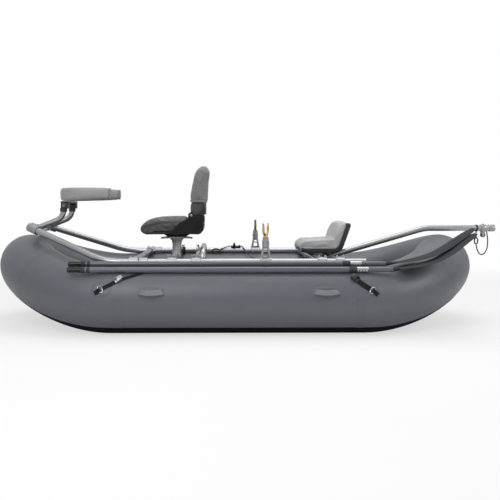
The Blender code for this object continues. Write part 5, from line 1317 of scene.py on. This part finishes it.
def cushionPiece():
    inset, pan, rear = frontSeat["inset"], frontSeat["panFront"], frontSeat["rear"] - 0.002
    low, top, nose = frontSeat["bottom"] + 0.001, frontSeat["top"] - inset * 0.6, frontSeat["front"] + inset
    lip, half = frontSeat["lip"] + 0.002, seatHalf - 0.004
    outline = [(nose + 0.022, lip), (pan - 0.004, lip), (pan - 0.002, low), (rear, low), (rear, top),
               (-0.52, top), (-0.6, top - 0.004), (-0.655, top - 0.012), (-0.695, top - 0.027),
               (nose + 0.019, top - 0.05), (nose + 0.003, low + 0.03), (nose, low + 0.016), (nose + 0.006, low)]
    padding(plate("cushionCage", outline, -half, half, "Y", 0.012, 3), "frontCushion", "charcoalVinyl",
            "front_seat_cushion", "charcoal_vinyl", 0.8, 0.006, frontSeat["swell"], 4.0, "front_seat",
            shape=cushionShape, crease=cushionCreases)
    lines = []
    for side in (-1, 1):
        path = [(x, side * (half + 0.0015) * share, z) for x, share, z in frontSeat["piping"]]
        lines.append(sweep("piping", smoothPath(path), 0.0026, 8))
    place(lines, "charcoalVinyl", "front_seat", slot="charcoal_vinyl", name="cushionPiping")


def seatPost():
    x, r, top = frontSeat["postX"], frontSeat["postR"], frontSeat["postTop"]
    foot, wide = railZ - r, r + 0.0035
    profile = [(0.0, top), (0.049, top), (0.0495, top - 0.003), (0.0485, top - 0.007), (r + 0.0045, top - 0.024),
               (r + 0.002, top - 0.034), (r, top - 0.046), (r, railZ + 0.046), (wide, railZ + 0.043),
               (wide, foot + 0.004), (r, foot), (0.0, foot)]
    saddle = bar("postSaddle", (x, -0.05, railZ), (x, 0.05, railZ), 0.0285, 36, 0.002, bored)
    place([lathe("post", profile, (x, 0, 0), 48), saddle], "galvanised", stands="pedestal", slot="pipe",
          name="seatPedestal")
    knobZ, wall = railZ + 0.034, x + r
    sizes = [0.0265 + 0.0035 * math.cos(6 * 2 * math.pi * k / 60) for k in range(60)]
    lobes = [(size * c, knobZ + size * s) for size, (c, s) in zip(sizes, circle(60))]
    place([plate("knobHead", lobes, wall + 0.008, wall + 0.027, "X", 0.003, 3),
           bar("knobStem", (wall + 0.0003, 0, knobZ), (wall + 0.014, 0, knobZ), 0.0095, 24, 0.001),
           lathe("knobCap", mm(0, 28.5, 11, 28.5, 13, 26.5, 13, 20), (wall, 0, knobZ), 28, aft)],
          "blackPlastic", stands="pedestal_knob", slot="black_plastic", name="pedestalKnob")


def swivelPlates():
    x, r, y = frontSeat["postX"], frontSeat["plateR"], frontSeat["leverY"]
    baseZ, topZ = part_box("swivel_base")[1].z - 0.006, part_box("swivel_top")[0].z
    pieces = [lathe("basePlate", ((0.0, 0.006), (r - 0.001, 0.006), (r, 0.005), (r, 0.001), (r - 0.001, 0.0),
                                  (0.0, 0.0)), (x, 0, baseZ), 48)]
    for side in (-1, 1):
        path = smoothPath([(x + side * a, y, baseZ - b) for a, b in mm(50, 1.2, 85, 1.5, 100, 3.5, 106, 4)], 5)
        pieces += [sweep("lever", path, 0.0032, 12, wide=2.0, firstUp=starboard),
                   lathe("leverKnob", mm(0, -4.5, 6, -3, 6.5, 0, 6, 3, 0, 4.5),
                         (x + side * 0.104, y, baseZ - 0.0025), 20)]
    place(pieces, "boltSteel", stands="swivel_base", slot="steel", name="swivelBase")
    rim = ((0.0, 0.021), (r + 0.004, 0.021), (r + 0.005, 0.019), (r + 0.005, 0.01), (r - 0.013, 0.001),
           (r - 0.016, 0.0), (0.0, 0.0))
    ribs = []
    for k in range(6):
        first, half = x - 0.075 + k * 0.03, 0.084 - abs(k - 2.5) * 0.009
        ribs.append(block("rib", (first, -half, topZ + 0.011), (first + 0.004, half, topZ + 0.0205), 0.0008))
    place([lathe("topPlate", rim, (x, 0, topZ), 48), *ribs], "blackPlastic", "front_seat", "swivel_top",
          "black_plastic", "swivelTop")


def seatCheek(outline, side):
    # One glossy cheek, its outer edge well rounded
    half, cheek = frontSeat["halfWidth"], frontSeat["cheek"]

    def roundOff(bm):
        outer = [f for f in bm.faces
                 if abs(f.normal.y) > 0.9 and f.calc_center_median().y * side > half - cheek / 2]
        roundEdges(bm, list({e for f in outer for e in f.edges}), 0.008, 5)
    wall = reshaped(plate("cheek", outline[::-1], *sorted((side * half, side * seatHalf)), "Y", 0.0), roundOff)
    wall.data.shade_smooth()
    wall.data.set_sharp_from_angle(angle=math.radians(50))
    return wall


def seatShell():
    # The moulded pan and its two glossy cheeks, which carry the hinge pins
    half, hx, hz = (frontSeat[key] for key in ("halfWidth", "hingeX", "hingeZ"))
    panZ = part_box("seat_frame")[0].z
    rear = [(-0.352, panZ + 0.001), (-0.335, panZ + 0.004), (-0.3175, panZ + 0.024), (-0.3135, panZ + 0.05),
            (-0.3135, hz - 0.046), (-0.318, hz - 0.043), (-0.3245, hz - 0.046), (-0.3245, panZ + 0.046),
            (-0.34, panZ + 0.02)]
    outline = flatPath([(-0.572, panZ + 0.003), (-0.55, panZ + 0.012), (-0.5336, 0.6075), (-0.51, 0.625),
                        (-0.49, 0.645), (-0.476, 0.661), (-0.455, 0.674), (-0.43, 0.684), (-0.4165, 0.7)])
    outline += arc((hx, hz), 0.0205, 165, 70, 8)
    outline += flatPath([(-0.37, hz + 0.0035), (-0.345, hz + 0.002), (-0.3255, hz), (-0.3165, hz - 0.006),
                         (-0.3135, hz - 0.018), (-0.3125, 0.655), (-0.315, 0.622), (-0.327, 0.601),
                         (-0.352, panZ + 0.001)])
    pieces = [block("pan", (frontSeat["panFront"] + 0.004, -half + 0.002, panZ),
                    (-0.34, half - 0.002, panZ + 0.0118), 0.003),
              plate("rearWall", rear, -half + 0.004, half - 0.004, "Y", 0.002)]
    for side in (-1, 1):
        pieces += [seatCheek(outline, side), bar("hingePin", (hx, side * (seatHalf + 0.004), hz),
                                                 (hx, side * (seatHalf - 0.0106), hz), 0.008, 24, 0.0008)]
    place(pieces, "glossBlack", "front_seat", "seat_frame", "black_plastic", "seatShell")
    bolted("hingeBolts", [(Vector((hx, side * (half + 0.0001), hz)), starboard * side, aft)
                          for side in (-1, 1)], 1.15, body="front_seat")


def backShape(points):
    # The top corners of the back are round, and it is hollowed a little for the spine
    edge = np.clip(np.abs(points[:, 1]) / seatHalf, 0, 1)
    points[:, 2] -= ramp(points[:, 2], 0.9, 0.155) * 0.05 * edge ** 7
    hollow = 0.01 * (1 - edge ** 2) * np.sin(ramp(points[:, 2], 0.8, 0.25) * math.pi)
    points[:, 0] += np.where(points[:, 0] < -0.34, hollow, 0)
    return points


def backCreases(points):
    # Loose folds low on the cover, broad ones over it all, and its two seams
    x, y, z = points.T
    folds = 0.0016 * ramp(-z, -0.885, 0.08) * np.sin(z * 300 + 3.0 * np.sin(y * 19) + x * 40) \
        * (0.6 + 0.4 * np.sin(y * 37 + 1.0)) + 0.0009 * np.sin(z * 41 + y * 23) * np.sin(y * 47 + 2.0)
    seam = groove(np.abs(y) - frontSeat["backSeam"], 0.0026, 0.0022) * (x < -0.33)
    seam += groove(x + 0.318, 0.0024, 0.0018) * (np.abs(y) > 0.16)
    points = points + awayFrom(points, (-0.345, 0, 0.92), (1, 0.4, 0.2)) * (folds - seam)[:, None]
    points[:, 2] = np.maximum(points[:, 2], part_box("seat_back_cover")[0].z + 0.0005)
    return points


def lowerCreases(points):
    # Seams down the back's lower part and along its sides, kept within the solid
    low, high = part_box("seat_back_lower")
    side = ramp(np.abs(points[:, 1]), 0.15, 0.01)
    points[:, 0] += groove(np.abs(points[:, 1]) - 0.11, 0.003, 0.003) * (points[:, 0] < -0.39)
    for at in (-0.372, -0.352):
        points[:, 1] -= np.sign(points[:, 1]) * groove(points[:, 0] - at, 0.0022, 0.0016) * side
    points[:, 0] = np.minimum(points[:, 0], high.x)
    points[:, 2] = np.clip(points[:, 2], low.z, high.z)
    return points


def seatBack():
    body, base = "front_seat_back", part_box("seat_back_cover")[0].z
    cage = plate("coverCage", [(-0.4, base), (-0.298, base), *frontSeat["back"]], -seatHalf + 0.006,
                 seatHalf - 0.006, "Y", 0.01)
    padding(cage, "seatBackCover", "coverFabric", "seat_back_cover", "grey_fabric", 0.75, 0.006, 0.007, 3.5,
            body, shape=backShape, crease=backCreases)
    # The hem that closes the cover round the back
    hem = [[(-0.349 + power(c, 0.3) * (0.0537 + grow), power(s, 0.16) * (seatHalf - 0.0032 + grow), base + rise)
            for c, s in circle(64)] for rise, grow in mm(0.5, 0, 1, 1.2, 17, 1.2, 17.8, 0)]
    place(skin("coverHem", hem), "coverFabric", body, slot="grey_fabric")
    low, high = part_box("seat_back_lower")
    cage = block("lowerCage", low + Vector((0.004, 0.004, 0.002)), high - Vector((0.001, 0.004, 0.001)), 0.008)
    padding(cage, "seatBackLower", "backFabric", "seat_back_lower", "charcoal_vinyl", 0.85, 0.005, 0.004,
            3.0, body, crease=lowerCreases)
    place(nodeCopy("seat_back_frame", "seatBackFrame", 0.0012), "blackPlastic", body, "seat_back_frame",
          "black_plastic")


# Rower's seat: a light moulded pad in a black shell, bolted to a plate
rowerSeat = {"front": 0.318, "halfWidth": 0.186, "padTop": 0.552, "backTop": 0.683, "corner": 0.548,
             "cornerR": 0.07, "lean": 20.0, "shellThick": 0.012, "swell": 0.006, "wall": 0.03,
             "ribStep": 0.0105, "ribR": 0.0034, "boltX": 0.418, "boltY": 0.075}


def rowerLine(offset):
    # The shell's line from its front lip to the top of its back, moved inward by an offset
    base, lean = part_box("rower_seat_shell")[0].z, math.radians(rowerSeat["lean"])
    centre = (rowerSeat["corner"], base + rowerSeat["cornerR"])
    line = [(rowerSeat["front"] + 0.02, base + offset + 0.006), (rowerSeat["front"] + 0.045, base + offset)]
    line += arc(centre, rowerSeat["cornerR"] - offset, -90, -rowerSeat["lean"], 14)
    run = (rowerSeat["backTop"] - 0.042 - line[-1][1]) / math.cos(lean)
    for dx, dz in ((run * math.sin(lean), run * math.cos(lean)), (0.0005, 0.008), (-0.004, 0.006)):
        line.append((line[-1][0] + dx, line[-1][1] + dz))
    return line


def rowerWidth(x, z):
    # How the seat narrows: towards its front and towards the top of its back
    return (1 - 0.16 * ramp(-x, -0.4, 0.085) ** 2) * (1 - 0.12 * ramp(z, 0.56, 0.12) ** 2)


def rowerShape(points):
    # Round plan at the front corners and the back's top, and a hollow to sit in
    edge = np.clip(np.abs(points[:, 1]) / rowerSeat["halfWidth"], 0, 1)
    points[:, 1] *= rowerWidth(points[:, 0], points[:, 2])
    points[:, 2] -= 0.018 * ramp(points[:, 2], 0.56, 0.12) * edge ** 5
    seat = ramp(points[:, 2], 0.52, 0.02) * (points[:, 0] < 0.54)
    points[:, 2] += seat * (0.006 * edge ** 2 - 0.008 * (1 - edge ** 2) * ramp(points[:, 0], 0.36, 0.08))
    return points


def rowerCreases(points):
    x, y, z = (column.copy() for column in points.T)
    pull = (groove(np.abs(y) - 0.075, 0.005, 0.003)
            + groove(x - 0.545 + 0.02 * np.cos(y * 12), 0.006, 0.004) * (z < 0.6)) * (z > 0.53)
    points[:, 2] -= pull
    points[:, 0] += 0.4 * pull * (points[:, 2] > 0.58)
    wall = groove(points[:, 2] - 0.502 - np.clip(points[:, 0] - 0.52, 0, 0.2), 0.0028, 0.002)
    points[:, 1] -= np.sign(y) * wall * (np.abs(y) > 0.13)
    return points


def rowersSeat():
    under = rowerLine(rowerSeat["shellThick"] + 0.0012)
    top, half = rowerSeat["padTop"], rowerSeat["halfWidth"] - 0.005
    over = around(under[-1][0], rowerSeat["backTop"], -4, -16, -14, -7, -32, -6, -53, -25, -71, -68)
    over += [(under[-1][0] - 0.09, top + 0.004), (under[-1][0] - 0.118, top - 0.005)]
    over += around(rowerSeat["front"], top, 50, -10, 18, -24, 6, -44, 8, -64)
    padding(plate("rowerCage", under + over, -half, half, "Y", 0.007), "rowerPad", "rowerVinyl",
            "rower_seat_pad", "light_vinyl", 0.85, 0.006, rowerSeat["swell"], 4.0,
            shape=rowerShape, crease=rowerCreases)
    outer, inner, tall = (rowerLine(offset) for offset in (0.0, rowerSeat["shellThick"], rowerSeat["wall"]))
    pieces = [plate("shell", outer + inner[::-1], -half - 0.006, half + 0.006, "Y", 0.003)]
    for side in (-1, 1):
        low, high = sorted((side * (half + 0.001), side * (half + 0.0062)))
        pieces.append(plate("wall", outer + tall[::-1], low, high, "Y", 0.0015))

    def narrow(bm):
        for v in bm.verts:
            v.co.y *= rowerWidth(v.co.x, v.co.z)
    pieces = [reshaped(joined("shellAndWalls", pieces), narrow)]
    for at in evenPath([Vector((x, 0, z)) for x, z in outer[6:]], rowerSeat["ribStep"])[1:]:
        wide = (half + 0.003) * (1 - 0.12 * ramp(at.z, 0.56, 0.12) ** 2)
        pieces.append(bar("rib", (at.x, -wide, at.z), (at.x, wide, at.z), rowerSeat["ribR"], 12, 0.001))
    place(pieces, "blackPlastic", stands="rower_seat_shell", slot="black_plastic", name="rowerShell")
    place(nodeCopy("rower_seat_plate", "rowerPlate", 0.001), "castAlloy", stands="rower_seat_plate", slot="pipe")
    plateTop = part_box("rower_seat_plate")[1].z
    bolted("rowerBolts", [(Vector((rowerSeat["boltX"], y, plateTop)), up, aft)
                          for y in (-rowerSeat["boltY"], rowerSeat["boltY"])], 0.04)


thighBrace()
seatPost()
swivelPlates()
seatShell()
cushionPiece()
seatBack()
rowersSeat()
print("brace and seats made")


# Oar towers, their bushings and the oarlocks
tower = {
    "x": 0.071, "top": 0.562, "tubeR": 0.021, "base": 0.07, "bushingTop": 0.584, "stemR": 0.0064,
    "collar": 0.042, "leg": 0.013, "plate": 0.026, "ties": ((0.458, 0.4673), (0.4924, 0.4994), (0.513, 0.524)),
    "hornWidth": 0.058, "hornTop": 0.667, "hornR": (0.0048, 0.0032, 0.0055), "lift": 0.0125,
    "turn": {"port": 58.0, "starboard": 82.0},
}


def oarStation(side, name):
    x, y, top, half = tower["x"], side * railY, tower["top"], tower["base"] / 2
    neck, leg, thick = top - tower["collar"], tower["leg"], tower["plate"] / 2
    wide = lambda z: half + (tower["tubeR"] - half) * (z - railZ) / (neck - railZ)
    pieces = [bar("collar", (x, y, neck), (x, y, top), tower["tubeR"], 40, 0.002),
              bar("baseSleeve", (x - half, y, railZ), (x + half, y, railZ), sleeveR, 40, 0.002, bored)]
    foot, head = railZ + 0.0105, neck + 0.008
    for lean in (-1, 1):
        shape = [(x + lean * (wide(z) - inset), z)
                 for z, inset in ((foot, 0), (head, 0), (head, leg), (foot, leg))]
        pieces.append(plate("leg", shape, y - thick, y + thick, "Y", 0.0022, 3))
    for low, high in tower["ties"]:
        across = wide((low + high) / 2) - leg / 2
        pieces.append(block("tie", (x - across, y - thick + 0.003, low), (x + across, y + thick - 0.003, high),
                            0.002))
    place(pieces, "castAlloy", stands=f"oar_tower_{name}", slot="pipe", name="oarTower" + name.title())
    rim = tower["bushingTop"]
    bush = lathe("bushing" + name.title(), (
        (0.0075, rim - 0.0002), (0.0165, rim - 0.0002), (0.018, rim - 0.002), (0.0182, top + 0.004),
        (0.0205, top + 0.003), (0.0205, top - 0.001), (0.0075, top - 0.001), (0.0075, rim - 0.0002)), (x, y, 0))
    place(bush, "bushing", slot="black_plastic")
    spots = [(Vector((x + dx, y - 0.0285, railZ)), -starboard, aft) for dx in (-0.022, 0.022)]
    spots += [(Vector((x + dx, y, railZ + 0.0285)), up, aft) for dx in (-0.027, 0.027)]
    bolted("towerBolts" + name.title(), spots)
    oarlock(name, y)


def oarlock(name, y):
    rim, half, top = tower["bushingTop"], tower["hornWidth"] / 2, tower["hornTop"]
    bottom, (thin, swell, tip) = rim + tower["lift"], tower["hornR"]
    flare = [(half + 0.0055, top), (half + 0.001, top - 0.012), (half, top - 0.026)]
    route = smoothPath([(-a, 0, b) for a, b in flare], 4)
    route += [Vector((a, 0, b)) for a, b in arc((0, bottom + half), half, 180, 360, 28)]
    route += smoothPath([(a, 0, b) for a, b in flare[::-1]], 4)
    radii = [thin + swell * math.sin(math.pi * k / (len(route) - 1)) for k in range(len(route))]
    radii[0] = radii[-1] = tip
    neck = ((0.0, bottom + 0.006), (0.0085, bottom + 0.004), (0.0095, bottom - 0.002), (0.0125, bottom - 0.0045),
            (0.0145, rim + 0.0045), (0.0145, rim + 0.0008), (0.0, rim + 0.0008))
    ball = mm(0, 4.5, 4, 3, 5.8, 0, 4, -3, 0, -4.5)
    made = joined("oarlock" + name.title(), [
        bar("stem", (0, 0, tower["top"] - 0.03), (0, 0, bottom + 0.002), tower["stemR"], 24, 0.0005),
        lathe("neck", neck, sides=28), sweep("horns", route, None, 16, radii, firstUp=starboard),
        *(lathe("tip", ball, (side * (half + 0.0055), 0, top - 0.002), 18) for side in (-1, 1))])
    turn = Matrix.Rotation(math.radians(tower["turn"][name]), 4, "Z")
    made.data.transform(Matrix.Translation((tower["x"], y, 0)) @ turn)
    # The starboard oarlock takes the darker bronze copy, its colour painted shade
    place(made, "bronze" if name == "port" else "darkBronze", f"oarlock_{name}", f"oarlock_{name}", "bronze")


oarStation(-1, "port")
oarStation(1, "starboard")
print("oar towers made")


# Oars, stowed along the port rail
oars = {
    "rows": (("Upper", "oar_upper", -1.125, 0.0, 1.0), ("Lower", "oar_lower", -1.115, 0.026, 0.92)),
    "shaftR": 0.018, "gripR": 0.0165, "gripLength": 0.085, "sleeve": 0.53, "ferrule": 0.58, "neck": 0.78, "shank": 0.068,
    "neckR": 0.014, "bladeWidth": 0.16, "bladeThick": 0.007, "tilt": 1.0, "scoop": 0.006, "rib": 0.0035,
    "grip": ((0.0, 0.0), (0.7, 0.001), (0.95, 0.005), (1.0, 0.012), (0.96, 0.03), (0.9, 0.05), (0.98, 0.075),
             (0.98, 0.085), (0.0, 0.085)),
    "blade": ((0.0, 0.0, 0.0), (0.03, 0.001, 0.02), (0.09, 0.008, 0.35), (0.16, 0.02, 0.72),
              (0.24, 0.038, 0.94), (0.31, 0.062, 1.0), (0.38, 0.1, 1.0), (0.45, 0.148, 0.97),
              (0.51, 0.188, 0.82), (0.543, 0.209, 0.55)),
}


def bladeRing(centre, heading, across, half, thick, scoop):
    # A section with a rib down its middle and a scooped face
    above = heading.cross(across).normalized()
    rib = oars["rib"] if scoop else 0.0
    return [centre + across * (half * c)
            - above * (thick * s + math.copysign(rib * math.exp(-(c / 0.16) ** 2), s) - scoop * (1 - c * c))
            for c, s in circle(32, 0.5)]


def oarBlade(start, neck, y, z, reach):
    # Round where it leaves the shaft, then flattening into the blade
    tilt, neckR, scoop = math.radians(oars["tilt"]), oars["neckR"], oars["scoop"]
    across = Vector((0, math.cos(tilt), math.sin(tilt)))
    runs, rises, shares = zip(*oars["blade"])
    line = smoothPath([(neck + run * reach, y, z + rise) for run, rise in zip(runs, rises)], 5)
    widths = np.interp(np.linspace(0, len(shares) - 1, len(line)), range(len(shares)), shares)
    rings = [bladeRing(Vector((start + dx, y, z)), aft, across, neckR, neckR, 0) for dx in (0.0, 0.03, 0.07)]
    for k, at in enumerate(line):
        flatten = min(k / 10, 1.0)
        thick = neckR * (1 - flatten) + oars["bladeThick"] / 2 * flatten
        half = max(oars["bladeWidth"] / 2 * widths[k], neckR * (1 - widths[k]))
        rings.append(bladeRing(at, headingAt(line, k), across, half, thick, scoop * widths[k]))
    last = (line[-1] - line[-2]).normalized()
    rings.append(bladeRing(line[-1] + last * 0.006, last, across, half * 0.8, 0.0012, scoop * 0.6))
    return skin("blade", rings, sharp=50.0)


def stowedOar(label, node, start, further, reach):
    low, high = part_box(node + "_shaft")
    y, z = (low.y + high.y) / 2, (low.z + high.z) / 2
    gripEnd, r, g = start + oars["gripLength"], oars["shaftR"], oars["gripR"]
    sleeve, ferrule, neck = (oars[key] + further for key in ("sleeve", "ferrule", "neck"))

    def rod(name, first, last, radius, sides, chamfer):
        return bar(name, (first, y, z), (last, y, z), radius, sides, chamfer)
    place(lathe("oarGrip" + label, [(g * share, at) for share, at in oars["grip"]], (start, y, z), 32, aft),
          "glossBlack", slot="black_plastic")
    collars = [rod("collar", gripEnd + a, gripEnd + b, r + 0.0007, 32, 0.002) for a, b in mm(-4, 24, 30, 52)]
    collars.append(rod("sleeve", sleeve, ferrule - 0.001, r + 0.0005, 36, 0.002))
    place(collars, "rubber", slot="black_plastic", name="oarCollars" + label)
    place(rod("oarShaft" + label, gripEnd, ferrule, r, 36, 0.001), "oarShaft", stands=node + "_shaft",
          slot="oar")
    place(rod("oarFerrule" + label, ferrule - 0.002, ferrule + oars["shank"], r - 0.0006, 36, 0.0015),
          "boltSteel", slot="steel")
    bladeStart = ferrule + oars["shank"] - 0.002
    place(rod("oarNeck" + label, bladeStart, neck + 0.014, r - 0.0034, 32, 0.001), "oarShaft", slot="oar")
    holes = [(Vector((ferrule + 0.012 + 0.017 * k, y - (r - 0.0014), z - 0.003)), -starboard, aft)
             for k in range(4)]
    bolted("oarButtons" + label, holes, 0.55, "rubber", slot="black_plastic")
    place(oarBlade(bladeStart, neck, y, z, reach), "oarBlade", stands=node + "_blade", slot="oar",
          name="oarBlade" + label)


for row in oars["rows"]:
    stowedOar(*row)
print("oars made")


# Stern: anchor arm, its block and sheave
anchor = {"armR": 0.02, "bendX": 1.212, "tipX": 1.7, "z": 0.621, "blockX": 1.618, "bendRadius": 0.3}


def anchorArm():
    (rear, _), tip, z, r = pipes["crossbars"]["crossbar_rear"], anchor["tipX"], anchor["z"], anchor["armR"]
    corners = ((rear + 0.035, 0, railZ), (anchor["bendX"], 0, z), (tip - 0.012, 0, z))
    route = [Vector((rear, 0, railZ))] + bentPath(corners, anchor["bendRadius"], 20)
    place(sweep("anchorArm", route, r, 32, firstUp=starboard), "pipeAlloy", stands="anchor_arm", slot="pipe")
    cap = around(0, tip, 0, 0, 16, 0, 22.5, -3, 24, -8, 24, -40, 22, -44, 0, -44)
    place([sleeveAcross("armClamp", rear, 0, railZ, 0.035, sleeveR), lathe("armCap", cap, (0, 0, z), 36, aft),
           nodeCopy("anchor_block", "block", 0.0006)], "castAlloy", stands="anchor_block", slot="cast",
          name="armCastings")
    low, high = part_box("anchor_sheave")
    centre, size, half = (low + high) / 2, (high.x - low.x) / 2, (high.y - low.y) / 2
    rim = [(size - 0.001, half), (size, half - 0.0015), (size - 0.0035, half * 0.35)]
    wheel = [(0.0037, half), *rim, (size - 0.0042, 0.0), *((a, -b) for a, b in rim[::-1]), (0.0037, -half),
             (0.0037, half)]
    place(lathe("anchorSheave", wheel, centre, 40, starboard), "blackPlastic", "anchor_sheave", "anchor_sheave",
          "black_plastic")
    bolted("armBolts", [(Vector((anchor["blockX"], 0, z + 0.0248)), up, aft),
                        (Vector((anchor["blockX"] - 0.004, -0.011, centre.z)), -starboard, aft)], 0.9)


anchorArm()
print("anchor arm made")


for used in templates:
    bpy.data.objects.remove(used)
